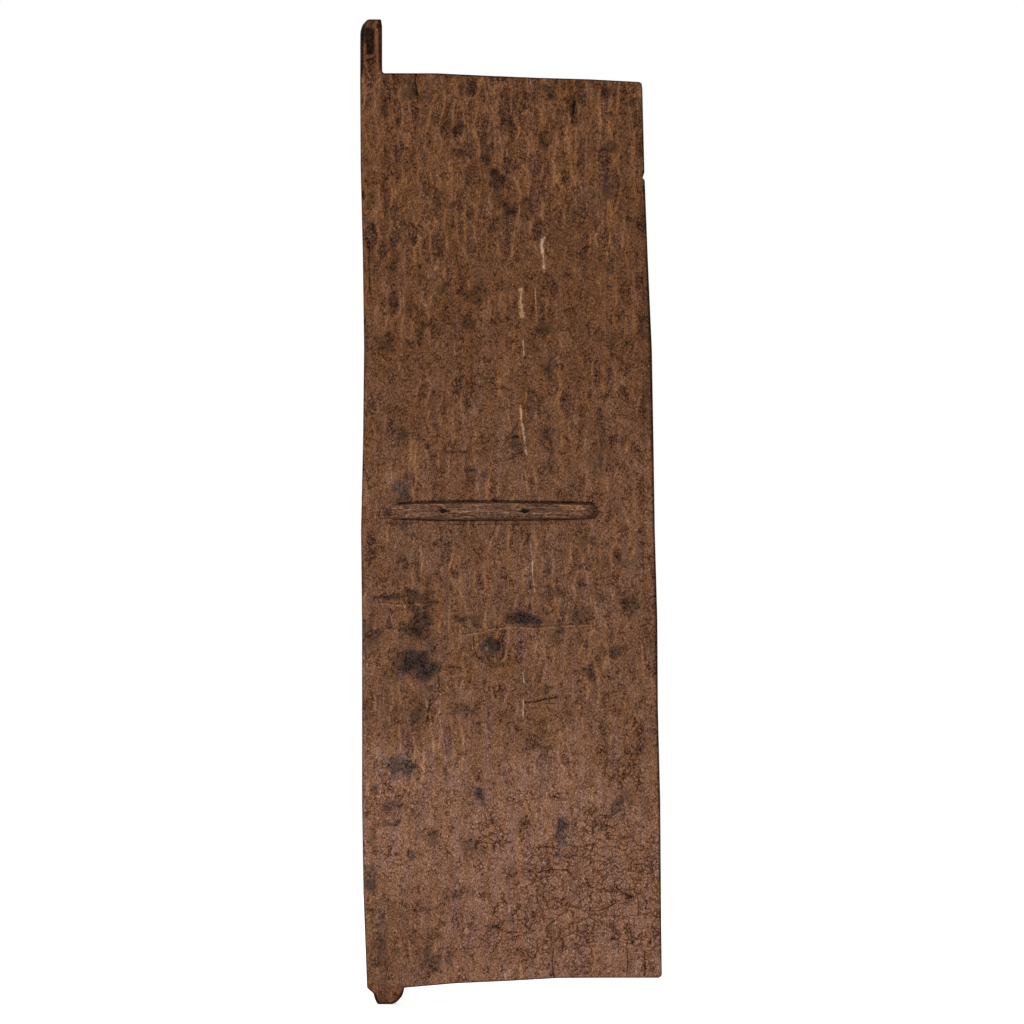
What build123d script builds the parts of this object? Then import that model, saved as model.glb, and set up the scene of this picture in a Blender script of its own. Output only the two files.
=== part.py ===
from build123d import *
import math
import os
import random

os.makedirs("parts", exist_ok=True)

# A door leaf hewn from one plank together with its two pivots, and the batten nailed across it.
# Millimetres. The origin is on the foot of the lower pivot, +X points to the free edge,
# +Z is up, and the front, which carries the batten, looks towards -Y.

# Leaf
leaf_height = 1738.5
leaf_width_top = 536.4
leaf_width_bottom = 560.5
leaf_thickness = 39.0
stile_reach_top = 53.2
stile_reach_bottom = 39.9
top_edge_fall = 17.0
bottom_edge_rise = 19.0
arris = 3.2
free_corner_radius = 7.0
nick_drop = 182.0
nick_opening = 7.0
nick_depth = 3.5

# How far each hewn edge strays from a straight line, at even steps along it
hanging_edge_strays = [-5.3, -6.8, -5.5, -4.2, -4.8, 0.4, 3.6, 2.6, -0.3]
free_edge_strays = [1.8, 4.3, 3.6, 6.3, 5.2, 6.4, 7.2, 3.3, 0.4]
top_edge_strays = [3.2, 1.9, 1.3, 1.9]
bottom_edge_strays = [4.7, 5.3, 7.2, 3.8]

# Upper pivot, flush with the hanging edge, its crown rounded on that side
upper_pivot_diameter = 41.8
upper_pivot_rise = 102.6
pivot_neck_radius = 6.0
pivot_ramp_length = 44.0
crown_round_width = 19.0
crown_round_height = 30.0
crown_taper_height = 13.5
crown_taper = 1.9
kerf_drop = 76.5
kerf_width = 15.5
kerf_height = 2.4
kerf_depth = 1.6

# Lower pivot, worn to a short nub, with a broken shoulder on its hanging side
lower_pivot_drop = 31.4
nub_reach_free = 30.4
nub_reach_hanging = 27.4
nub_shoulder_height = 20.0
nub_foot_radius = 13.0
nub_foot_offset = 6.0
nub_belly_radius = 34.0
nub_belly_height = 18.0

# Batten, let into a shallow housing, crowned by wear and worn away towards its ends
batten_left_end = -3.8
batten_length = 403.0
batten_centre_height = 937.6
batten_depth_in_leaf = 8.0
batten_proud = 12.0
batten_height_left = 29.5
batten_height_middle = 34.5
batten_height_right = 27.0
batten_corner_left = 8.0
batten_corner_right = 12.0
batten_crown_radius = 31.0
batten_wear_left = 64.0
batten_wear_right = 49.0
batten_end_proud = 1.3
batten_clearance = 0.3

# The batten's forged nails, their heads sunk in worn pits
nail_places = [105.5, 260.3]
nail_length = 36.0
nail_shank_side = 5.0
nail_tip_side = 2.0
nail_head_side = 7.0
nail_crown_side = 3.5
nail_head_height = 2.0
nail_clearance = 0.15
pit_length = 17.0
pit_height = 10.5
pit_depth = 3.6
pit_flare = 20.0

# Traces of older battens' housings: left end, height of the lower lip, length, height, depth
old_housings = [(-37.0, 757.0, 125.0, 26.0, 2.6), (127.0, 712.0, 276.0, 30.0, 3.0)]
old_housing_slope = 1.6

# Adze cuts: a round blade that enters on the slant and stops dead lower down
adze_slant = 1.1
adze_radius = 54.0
lane_width = 26.0
cut_length_least = 62.0
cut_length_most = 104.0
back_adze_radius = 230.0
back_lane_width = 70.0
back_cut_length_least = 110.0
back_cut_length_most = 190.0
cut_spacing = 0.9
lane_drift = 0.08
border = 9.0
cutter_lift = 2.0
cutter_clearance = 1.0

# Hewn zones: from and to in shares of the leaf's height, then of its width, share of cuts kept
front_zones = [(0.72, 0.985, 0.0, 1.0, 1.0), (0.55, 0.72, 0.0, 1.0, 0.5),
               (0.30, 0.385, 0.0, 0.75, 0.5), (0.15, 0.30, 0.0, 0.45, 0.5)]
back_zones = [(0.02, 0.98, 0.0, 1.0, 0.75)]

bottom_z = lower_pivot_drop
top_z = bottom_z + leaf_height
crown_z = top_z + upper_pivot_rise
front_y = -leaf_thickness / 2
back_y = leaf_thickness / 2
pivot_radius = upper_pivot_diameter / 2
pivot_axis_x = pivot_radius - stile_reach_top
hanging_top = (-stile_reach_top, top_z)
hanging_bottom = (-stile_reach_bottom, bottom_z)
free_top = (leaf_width_top - stile_reach_top, top_z - top_edge_fall)
free_bottom = (leaf_width_bottom - stile_reach_bottom, bottom_z + bottom_edge_rise)
batten_seat_y = front_y + batten_depth_in_leaf
batten_front_y = front_y - batten_proud
batten_right_end = batten_left_end + batten_length
nail_seat_y = batten_front_y + pit_depth
overrun = 10.0
batten_end_overrun = 3.0
crown_margin = 0.8


def between(start, end, share):
    """The point at a share of the way from start to end."""
    return (start[0] + share * (end[0] - start[0]), start[1] + share * (end[1] - start[1]))


def hewn_edge(start, end, strays, across):
    """A hewn edge in long facets, whose ends stray from a straight line along the direction across."""
    points = [start]
    for step, stray in enumerate(strays, start=1):
        x, z = between(start, end, step / (len(strays) + 1))
        points.append((x + stray * across[0], z + stray * across[1]))
    points.append(end)
    return Polyline(*points)


def crown_lines():
    """The upper pivot's outline over the crown and down to the neck, then the top edge."""
    left = pivot_axis_x - pivot_radius
    right = pivot_axis_x + pivot_radius
    round_centre = (left + crown_round_width, crown_z - crown_round_height)
    crown_left = (round_centre[0], crown_z)
    crown_right = (right - crown_taper, crown_z)
    taper_start = (right, crown_z - crown_taper_height)
    neck_side = (right, top_z + pivot_neck_radius)
    neck_end = (right + pivot_neck_radius, top_z)
    inset = pivot_neck_radius * (1 - math.sqrt(0.5))
    return [
        Line(hanging_top, (left, round_centre[1])),
        EllipticalCenterArc(round_centre, crown_round_width, crown_round_height, 90, arc_size=90),
        Polyline(crown_left, crown_right, taper_start, neck_side),
        ThreePointArc(neck_side, (right + inset, top_z + inset), neck_end),
        hewn_edge(neck_end, free_top, top_edge_strays, (0, 1)),
    ]


def nub_lines():
    """The bottom edge, then the lower pivot's outline round its foot to the stile."""
    top = (nub_reach_free, bottom_z)
    cheek = (0.92 * nub_reach_free, 0.6 * bottom_z)
    low_cheek = (0.66 * nub_reach_free, 0.24 * bottom_z)
    foot_right = (nub_foot_radius - nub_foot_offset, 0)
    foot_left = (-nub_foot_radius - nub_foot_offset, 0)
    heel = (-0.9 * nub_reach_hanging, 0.43 * nub_shoulder_height)
    shoulder = (-nub_reach_hanging, nub_shoulder_height)
    return [
        hewn_edge(top, free_bottom, bottom_edge_strays, (0, 1)),
        Spline(top, cheek, low_cheek, foot_right),
        Line(foot_right, foot_left),
        Spline(foot_left, heel, shoulder),
        Line(shoulder, hanging_bottom),
    ]


def front_outline():
    """The leaf with both its pivots, seen from the front."""
    free_edge = hewn_edge(free_bottom, free_top, free_edge_strays, (1, 0))
    hanging_edge = hewn_edge(hanging_bottom, hanging_top, hanging_edge_strays, (1, 0))
    outline = make_face(Curve() + crown_lines() + nub_lines() + [free_edge, hanging_edge])
    free_corners = [outline.vertices().sort_by_distance(corner)[0] for corner in (free_top, free_bottom)]
    return Plane.XZ * fillet(free_corners, free_corner_radius)


def leaf_blank():
    """The outline at its full thickness, with its arrises worn off."""
    plank = extrude(Pos(0, back_y, 0) * front_outline(), leaf_thickness)
    broad_faces = plank.faces().sort_by(Axis.Y)
    return chamfer(broad_faces[0].edges() + broad_faces[-1].edges(), arris)


def ring_cutter(profile, axis_x, start_angle, arc):
    """What lies outside a turned profile of radius and height, over part of a turn."""
    ring = revolve(Plane.XZ * make_face(profile), Axis.Z, arc)
    return Pos(axis_x, 0, 0) * Rot(0, 0, start_angle) * ring


def upper_pivot_rounding():
    """Rounds the square stub above the neck, and ramps into the stile's outer corners below it."""
    outside = math.hypot(pivot_radius, leaf_thickness / 2) + 1
    taper_z = crown_z - crown_taper_height
    over_radius = pivot_radius - crown_taper * (1 + overrun / crown_taper_height)
    top = [(pivot_radius, taper_z), (over_radius, crown_z + overrun), (outside, crown_z + overrun)]
    neck = (pivot_radius, top_z + pivot_neck_radius)
    ramp = Polyline((outside, top_z - pivot_ramp_length), neck, *top, close=True)
    flare = Polyline((outside, top_z + cutter_clearance), neck, *top, close=True)
    return [ring_cutter(ramp, pivot_axis_x, 90, 180), ring_cutter(flare, pivot_axis_x, -90, 180)]


def nub_rounding():
    """Rounds the foot of the lower pivot up to its belly in whittled bands."""
    low = (0.73 * nub_belly_radius, 0.22 * nub_belly_height)
    high = (0.92 * nub_belly_radius, 0.58 * nub_belly_height)
    belly = (nub_belly_radius, nub_belly_height)
    flare = (1.5 * nub_belly_radius, 1.4 * nub_belly_height)
    profile = Polyline((nub_foot_radius, 0), low, high, belly, flare, (flare[0], -overrun),
                       (nub_foot_radius, -overrun), close=True)
    return ring_cutter(profile, -nub_foot_offset, 0, 360)


def batten_outline(margin):
    """The batten from the front, grown by a margin."""
    left = batten_left_end - margin
    right = batten_right_end + margin
    middle = (left + right) / 2
    half_left = batten_height_left / 2 + margin
    half_middle = batten_height_middle / 2 + margin
    half_right = batten_height_right / 2 + margin
    outline = make_face(Curve() + [
        Line((left, -half_left), (left, half_left)),
        ThreePointArc((left, half_left), (middle, half_middle), (right, half_right)),
        Line((right, half_right), (right, -half_right)),
        ThreePointArc((right, -half_right), (middle, -half_middle), (left, -half_left)),
    ])
    outline = fillet(outline.vertices().sort_by(Axis.X)[:2], batten_corner_left + margin)
    outline = fillet(outline.vertices().sort_by(Axis.X)[-2:], batten_corner_right + margin)
    return Plane.XZ * (Pos(0, batten_centre_height) * outline)


def worn_ramp_end(start, reach):
    """Where the round ramp from start would lie a little past the batten's end."""
    drop = batten_proud + crown_margin - batten_end_proud
    radius = (reach**2 + drop**2) / (2 * drop)
    run = abs(reach) + batten_end_overrun
    fall = radius - math.sqrt(radius**2 - run**2)
    return (start[0] + math.copysign(run, reach), start[1] + fall)


def batten_bar():
    """The batten before its nail pits: flat behind, crowned, dying away at both ends."""
    bar = extrude(Pos(0, batten_seat_y, 0) * batten_outline(0), batten_depth_in_leaf + 2 * batten_proud)
    over_crown_y = batten_front_y - crown_margin
    left_ramp = (batten_left_end + batten_wear_left, over_crown_y)
    right_ramp = (batten_right_end - batten_wear_right, over_crown_y)
    left_end = worn_ramp_end(left_ramp, -batten_wear_left)
    right_end = worn_ramp_end(right_ramp, batten_wear_right)
    plan = make_face(Curve() + [
        TangentArc(left_ramp, left_end, tangent=(-1, 0)),
        Line(left_ramp, right_ramp),
        TangentArc(right_ramp, right_end, tangent=(1, 0)),
        Polyline(right_end, (right_end[0], batten_seat_y), (left_end[0], batten_seat_y), left_end),
    ])
    plan = Pos(0, 0, batten_centre_height - batten_height_middle) * plan
    crown = Cylinder(batten_crown_radius, batten_length + 2 * overrun, rotation=(0, 90, 0))
    crown_x = (batten_left_end + batten_right_end) / 2
    crown = Pos(crown_x, batten_front_y + batten_crown_radius, batten_centre_height) * crown
    return bar & extrude(plan, 2 * batten_height_middle) & crown


def nail_pit(x):
    """The worn pit round a nail's head, wider at its mouth."""
    floor = Plane.XZ * (Pos(x, batten_centre_height) * Ellipse(pit_length / 2, pit_height / 2))
    return extrude(Pos(0, nail_seat_y, 0) * floor, 2 * pit_depth, taper=-pit_flare)


def square_taper(side, far_side, length):
    """A square bar from the origin along +Y, narrowing evenly to its far side."""
    narrowing = math.degrees(math.atan((side - far_side) / 2 / length))
    return Rot(-90, 0, 0) * extrude(Rectangle(side, side), length, taper=narrowing)


def nail(x):
    """A forged nail driven home: shank and hammered crown in one."""
    shank = square_taper(nail_shank_side, nail_tip_side, nail_length)
    head = square_taper(nail_head_side, nail_crown_side, nail_head_height)
    return Pos(x, nail_seat_y, batten_centre_height) * (shank + Rot(0, 0, 180) * head)


def nail_hole(x):
    """The hole that the shank has forced, a little wider and longer than the shank."""
    fall = (nail_shank_side - nail_tip_side) / nail_length
    reach = nail_length + 4 * nail_clearance
    wide = nail_shank_side + 2 * nail_clearance
    return Pos(x, nail_seat_y, batten_centre_height) * square_taper(wide, wide - fall * reach, reach)


def adze_cut(x, z, length, radius, face_y, inward):
    """One cut, deepest at its lower end z and fading out above; inward is the way into the wood."""
    depth = length * math.tan(math.radians(adze_slant))
    bulge = depth + cutter_lift
    half_chord = math.sqrt(2 * radius * bulge - bulge**2)
    chord_y = -inward * bulge
    blade = make_face(Curve() + [
        ThreePointArc((-half_chord, chord_y), (0, 0), (half_chord, chord_y)),
        Line((half_chord, chord_y), (-half_chord, chord_y)),
    ])
    return Pos(x, face_y + inward * depth, z) * Rot(inward * adze_slant, 0, 0) * extrude(blade, length)


def edge_x_at(bottom, top, z):
    """Where the straight line that an upright edge strays from stands at a height."""
    return between(bottom, top, (z - bottom[1]) / (top[1] - bottom[1]))[0]


def hewn_face(zones, face_y, inward, radius, lane, least, most, seed):
    """Rows of adze cuts down each lane of the zones, some of them worn away again."""
    cuts = []
    draw = random.Random(seed)
    edge_room = border + arris
    for low_share, high_share, near_share, far_share, kept in zones:
        low_z = bottom_z + low_share * leaf_height
        high_z = bottom_z + high_share * leaf_height
        lane_count = int((far_share - near_share) * leaf_width_top / lane)
        for index in range(lane_count):
            across = near_share + (far_share - near_share) * (index + 0.5) / lane_count
            z = low_z + draw.uniform(0, least)
            while z < high_z - most:
                length = draw.uniform(least, most)
                left = edge_x_at(hanging_bottom, hanging_top, z) + edge_room
                right = edge_x_at(free_bottom, free_top, z) - edge_room
                x = left + across * (right - left) + draw.uniform(-1, 1) * lane_drift * lane
                if draw.random() < kept:
                    cuts.append(adze_cut(x, z, length, radius, face_y, inward))
                z += length * cut_spacing
    return cuts


def old_housing_trace(left, low, length, height, depth):
    """A worn ramp down to the sharp lower lip of an empty housing."""
    lift = height * cutter_lift / depth
    ramp = make_face(Polyline((-cutter_lift, height + lift), (depth, 0), (-cutter_lift, 0), close=True))
    strip = extrude(Plane.YZ * ramp, length)
    return Pos(left, front_y, low) * Rot(0, -old_housing_slope, 0) * strip


def edge_nick():
    """The small nick in the upper free edge."""
    z = free_top[1] - nick_drop
    x = edge_x_at(free_bottom, free_top, z)
    notch = make_face(Polyline((-nick_depth, 0), (nick_depth, nick_opening), (nick_depth, -nick_opening),
                               close=True))
    return extrude(Pos(x, back_y + overrun, z) * (Plane.XZ * notch), leaf_thickness + 2 * overrun)


def leaf():
    """The plank with its housings, holes, hewn faces and wear."""
    body = leaf_blank() - upper_pivot_rounding() - nub_rounding() - edge_nick()
    housing = extrude(Pos(0, batten_seat_y, 0) * batten_outline(batten_clearance), 2 * batten_depth_in_leaf)
    kerf = Pos(pivot_axis_x, front_y, crown_z - kerf_drop) * Box(kerf_width, 2 * kerf_depth, kerf_height)
    body = body - housing - kerf
    body -= [nail_hole(x) for x in nail_places]
    body -= [old_housing_trace(*trace) for trace in old_housings]
    body -= hewn_face(front_zones, front_y, 1, adze_radius, lane_width,
                      cut_length_least, cut_length_most, seed=7)
    body -= hewn_face(back_zones, back_y, -1, back_adze_radius, back_lane_width,
                      back_cut_length_least, back_cut_length_most, seed=8)
    return body


def cross_batten():
    """The batten with its nail pits and holes."""
    bar = batten_bar()
    for x in nail_places:
        bar = bar - nail_pit(x) - nail_hole(x)
    return bar


export_step(leaf(), "parts/leaf.step")
export_step(cross_batten(), "parts/cross_batten.step")
export_step(Compound([nail(x) for x in nail_places]), "parts/batten_nails.step")
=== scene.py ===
import math

import bpy
import numpy as np
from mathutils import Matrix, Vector


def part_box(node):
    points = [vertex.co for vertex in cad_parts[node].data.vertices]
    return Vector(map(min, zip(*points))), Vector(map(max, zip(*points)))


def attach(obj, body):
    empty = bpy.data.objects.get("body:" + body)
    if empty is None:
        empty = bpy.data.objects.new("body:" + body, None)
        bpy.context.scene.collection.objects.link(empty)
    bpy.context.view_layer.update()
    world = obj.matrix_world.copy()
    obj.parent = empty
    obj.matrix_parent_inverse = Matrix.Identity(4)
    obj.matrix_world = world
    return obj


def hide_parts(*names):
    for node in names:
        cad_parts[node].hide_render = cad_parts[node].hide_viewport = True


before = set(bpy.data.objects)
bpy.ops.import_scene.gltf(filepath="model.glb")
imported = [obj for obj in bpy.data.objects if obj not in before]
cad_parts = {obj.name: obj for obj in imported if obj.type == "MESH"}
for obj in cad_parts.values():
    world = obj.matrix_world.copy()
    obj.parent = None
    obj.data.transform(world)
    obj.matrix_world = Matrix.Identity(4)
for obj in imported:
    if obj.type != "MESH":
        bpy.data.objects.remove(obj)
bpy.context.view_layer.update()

# Sizes are in millimetres, in the frame's own axes: x from the hanging edge to the free edge, z up.
MM = 0.001

# How the photograph was framed: its height and its middle, at the leaf's own plane.
view_height = 1945.6
view_middle_x = 235.6
view_middle_z = 935.75
camera_distance = 14000.0
sensor_width = 36.0
camera_reach = 100000.0

# The leaf's mesh: spacing of its columns and rows, and how the back is thinned out.
column_count = 268
row_spacing = 7.2
fine_row_spacing = 4.0
nick_row_spacing = 2.5
pivot_row_spacing = 2.7
nub_row_spacing = 2.6
ring_count = 9
back_column_step = 5
back_row_step = 3

# Where the rows lie closer: the low spots, the star-shaped hole, the leaf-shaped check, the old housings,
# the batten's seat and the nick.
fine_zones = [(112.0, 128.0, nick_row_spacing), (198.0, 228.0, fine_row_spacing),
              (335.0, 368.0, nick_row_spacing), (640.0, 800.0, fine_row_spacing),
              (905.0, 972.0, fine_row_spacing), (1574.0, 1593.0, nick_row_spacing)]

# The leaf's own places.
body_foot = 35.5
body_head = 1765.0
arris = 4.0
neck_radius = 6.0
neck_reach = 10.0
neck_corner = 0.71 * neck_reach
edge_blend = 14.0
pivot_ridge_inset = 9.5
pivot_round = 17.0
pivot_blend_from = 1725.0
pivot_blend_to = 1795.0
pivot_top_inset = 5.0
pivot_top_round = 9.0
nub_foot_inset = 5.0
nub_foot_half = 12.0
nub_foot_round = 5.0
nub_side_inset = 9.0
corner_cut = 2.0
corner_room = 9.0
back_relief = 0.7

# Where the outline is probed: at the hanging stile's foot, up the free edge, and at both pivots' ends.
hanging_probe = 60.0
free_probe_low = 100.0
free_probe_rise = 1600.0
free_probe_inset = 12.0
pivot_probe = 55.0
nub_probe = 4.0
foot_probe = 3.0
foot_rise = 2.2
top_probe = 2.0

# Every random draw starts from this seed. The noise reads a lattice that repeats after its size.
seed = 20261
lattice_size = 512
lattice_shift = 64


def smooth(low, high, value):
    """0 below low, 1 above high and smooth between them. It also runs backwards."""
    share = np.clip((value - low) / (high - low), 0, 1)
    return share * share * (3 - 2 * share)


def noise(x, z, size, number, stretch=1.0):
    """Smooth values from 0 to 1 that change over about that size, seeded by their own number."""
    lattice = np.random.default_rng(seed + number).random((lattice_size, lattice_size))
    u, v = x / size + lattice_shift, z / (size * stretch) + lattice_shift
    i, j = np.floor(u).astype(int), np.floor(v).astype(int)
    fu, fv = u - i, v - j
    fu, fv = fu * fu * (3 - 2 * fu), fv * fv * (3 - 2 * fv)
    column, after = i % lattice_size, (i + 1) % lattice_size
    low, high = (lattice[row, column] * (1 - fu) + lattice[row, after] * fu
                 for row in (j % lattice_size, (j + 1) % lattice_size))
    return low * (1 - fv) + high * fv


def mixed_noise(x, z, size, number, stretch=1.0):
    """Noise with finer noise on it."""
    return 0.6 * noise(x, z, size, number, stretch) + 0.4 * noise(x, z, size / 2.3, number + 1, stretch)


def solid_mesh(node):
    """A CAD node's points in millimetres and its edges."""
    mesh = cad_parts[node].data
    points = np.zeros(len(mesh.vertices) * 3)
    mesh.vertices.foreach_get("co", points)
    edges = np.zeros(len(mesh.edges) * 2, int)
    mesh.edges.foreach_get("vertices", edges)
    return points.reshape(-1, 3) / MM, edges.reshape(-1, 2)


def slices(node, axis, step, margin=0.05):
    """The levels across an axis, with the lowest and highest corner of the node's slice at each."""
    points, edges = solid_mesh(node)
    start, end = points[edges[:, 0]], points[edges[:, 1]]
    low = np.minimum(start[:, axis], end[:, axis])
    high = np.maximum(start[:, axis], end[:, axis])
    levels = np.arange(points[:, axis].min() + margin, points[:, axis].max() - margin, step)
    found = []
    for level in levels:
        crossing = (low < level) & (high > level)
        share = (level - start[crossing, axis]) / (end[crossing, axis] - start[crossing, axis])
        cut = start[crossing] + share[:, None] * (end[crossing] - start[crossing])
        found.append((cut.min(0), cut.max(0)))
    return levels, np.array(found)


def mesh_object(name, points, faces, marks):
    """An object from points in millimetres, with a value at every point for each mark."""
    mesh = bpy.data.meshes.new(name)
    mesh.from_pydata(np.asarray(points) * MM, [], faces)
    for mark, values in marks.items():
        attribute = mesh.attributes.new(mark, "FLOAT", "POINT")
        attribute.data.foreach_set("value", np.asarray(values, np.float32))
    mesh.polygons.foreach_set("use_smooth", np.ones(len(mesh.polygons), bool))
    mesh.update()
    piece = bpy.data.objects.new(name, mesh)
    bpy.context.scene.collection.objects.link(piece)
    return piece


class LeafOutline:
    """The leaf's silhouette, read from its CAD solid."""

    def __init__(self):
        self.levels, by_level = slices("leaf", 2, 1.0)
        self.left, self.right = by_level[:, 0, 0], by_level[:, 1, 0]
        self.places, by_place = slices("leaf", 0, 1.0)
        self.low, self.high = by_place[:, 0, 2], by_place[:, 1, 2]
        box_low, box_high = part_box("leaf")
        self.front, self.back = box_low.y / MM, box_high.y / MM
        self.half = (self.back - self.front) / 2
        self.crown = box_high.z / MM
        self.pivot_side = self.right_at(self.crown - pivot_probe)
        self.neck_x = self.pivot_side + neck_radius
        self.neck_z = self.high_at(self.neck_x + 1) + neck_radius
        self.bottom = self.low_at(hanging_probe)
        self.nub_side = self.right_at(self.bottom - nub_probe)
        free_foot = self.right_at(free_probe_low) - free_probe_inset
        self.free_low = self.low_at(free_foot) + corner_room
        free_head = self.right_at(self.free_low + free_probe_rise) - free_probe_inset
        self.free_high = self.high_at(free_head) - corner_room

    def left_at(self, z):
        return np.interp(z, self.levels, self.left)

    def right_at(self, z):
        return np.interp(z, self.levels, self.right)

    def low_at(self, x):
        return np.interp(x, self.places, self.low)

    def high_at(self, x):
        return np.interp(x, self.places, self.high)


outline = LeafOutline()


def row_levels():
    """The heights of the body's rows, closer in the fine zones."""
    levels = [body_foot]
    while levels[-1] < body_head:
        step = row_spacing
        for low, high, spacing in fine_zones:
            if low < levels[-1] < high:
                step = spacing
        levels.append(levels[-1] + step)
    levels = np.array(levels)
    return body_foot + (levels - body_foot) * (body_head - body_foot) / (levels[-1] - body_foot)


# Strokes of the adze, zone by zone: from and to height, lane, shortest and longest stroke, least and
# greatest depth, share of strokes that have worn away, and lean in degrees.
stroke_zones = [
    (-20.0, 420.0, 27.0, 45.0, 90.0, 0.2, 1.0, 0.45, 2.0),
    (420.0, 900.0, 23.0, 42.0, 86.0, 0.6, 1.9, 0.36, 6.0),
    (900.0, 1400.0, 23.0, 42.0, 86.0, 0.6, 1.8, 0.38, 3.0),
    (1400.0, 1775.0, 21.0, 42.0, 86.0, 1.1, 2.4, 0.06, 2.5),
    (1775.0, 1880.0, 14.0, 60.0, 90.0, 0.2, 0.5, 0.50, 1.0),
]
stroke_round_across = 52.0
stroke_round_low = 150.0
stroke_round_high = 900.0
stroke_reach = 85.0


def strokes():
    """Every stroke of the adze: its place, lean, depth, tone and share of its zone's longest stroke."""
    random = np.random.default_rng(seed)
    found = []
    for low, high, lane, shortest, longest, least, greatest, worn, lean in stroke_zones:
        lanes = int(round((outline.right.max() - outline.left.min()) / lane))
        for number in range(lanes + 1):
            x = outline.left.min() + number * lane + random.uniform(-0.28, 0.28) * lane
            z = low + random.uniform(-1, 0) * longest
            while z < high:
                length = random.uniform(shortest, longest)
                z += length
                sideways = random.uniform(-0.22, 0.22) * lane
                slant = math.radians(random.normal(0, lean))
                depth = random.uniform(least, greatest)
                tone = random.random()
                kept = random.random() > worn
                if kept and low < z < high:
                    found.append((x + sideways, z, slant, depth, tone, length / longest))
    return found


def carve(x, z):
    """The adzed face, point by point: depth, distance from the nearest ridge, how sharply the face turns
    there, how upright the ridge runs, the stroke's tone, and nearness to the stroke's lower end."""
    level = z.mean(1)
    deepest, second = np.zeros(x.shape), np.full(x.shape, -50.0)
    slope = [np.zeros(x.shape) for _ in range(4)]
    tone, lower_end = np.full(x.shape, 0.5), np.zeros(x.shape)
    for cut_x, cut_z, slant, depth, cut_tone, long in strokes():
        rows = np.flatnonzero(np.abs(level - cut_z) < stroke_reach)
        if not len(rows):
            continue
        part = slice(rows[0], rows[-1] + 1)
        dx, dz = x[part] - cut_x, z[part] - cut_z
        across = dx * math.cos(slant) + dz * math.sin(slant)
        along = dz * math.cos(slant) - dx * math.sin(slant)
        radius = np.where(along < 0, stroke_round_low, stroke_round_high * long * long)
        here = depth - across**2 / (2 * stroke_round_across) - along**2 / (2 * radius)
        slope_x, slope_z = -across / stroke_round_across, -along / radius
        first = here > deepest[part]
        next_one = ~first & (here > second[part])
        for kept, value in ((second, deepest), (slope[2], slope[0]), (slope[3], slope[1])):
            kept[part] = np.where(first, value[part], kept[part])
        for kept, value in ((deepest, here), (slope[0], slope_x), (slope[1], slope_z)):
            kept[part] = np.where(first, value, kept[part])
        for kept, value in ((second, here), (slope[2], slope_x), (slope[3], slope_z)):
            kept[part] = np.where(next_one, value, kept[part])
        tone[part] = np.where(first, cut_tone, tone[part])
        lower_end[part] = np.where(first, smooth(10, -26, along), lower_end[part])
    turn_across, turn_along = np.abs(slope[0] - slope[2]), np.abs(slope[1] - slope[3])
    turn = np.hypot(turn_across, turn_along)
    ridge = (deepest - second) / np.maximum(turn, 0.02)
    upright = turn_across / np.maximum(turn, 0.02)
    return deepest, ridge, turn, upright, tone, lower_end


def blot(x, z, centre, half_size, lean=0.0, ragged=0.7):
    """A ragged patch: 1 in its middle, a half at its edge and 0 well outside."""
    dx, dz = x - centre[0], z - centre[1]
    turn = math.radians(lean)
    across = (dx * math.cos(turn) + dz * math.sin(turn)) / half_size[0]
    along = (dz * math.cos(turn) - dx * math.sin(turn)) / half_size[1]
    grain = 0.5 * min(half_size) + 4
    rough = noise(x, z, grain, int(centre[0] + 7 * centre[1]) % 997)
    return np.clip(1.5 - np.hypot(across, along) - ragged * (2 * rough - 1), 0, 1)


def line_field(x, z, lines):
    """The signed offset from the nearest line, in shares of its width, and how strongly it is drawn."""
    offset, strength = np.full(x.shape, 9.0), np.zeros(x.shape)
    for route, width, reach in lines.values():
        route = np.array(route)
        spread = np.ptp(route, axis=0)
        upright = int(spread[1] > spread[0])
        run, side = (z, x) if upright else (x, z)
        route = route[np.argsort(route[:, upright])]
        along, off = route[:, upright], route[:, 1 - upright]
        away = side - np.interp(run, along, off)
        ends = smooth(along[0] - 5, along[0] + 5, run) * smooth(along[-1] + 5, along[-1] - 5, run)
        here = ends * smooth(reach, 0.5 * reach, np.abs(away))
        nearer = here > strength
        offset = np.where(nearer, away / width, offset)
        strength = np.where(nearer, here, strength)
    return offset, strength


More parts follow.
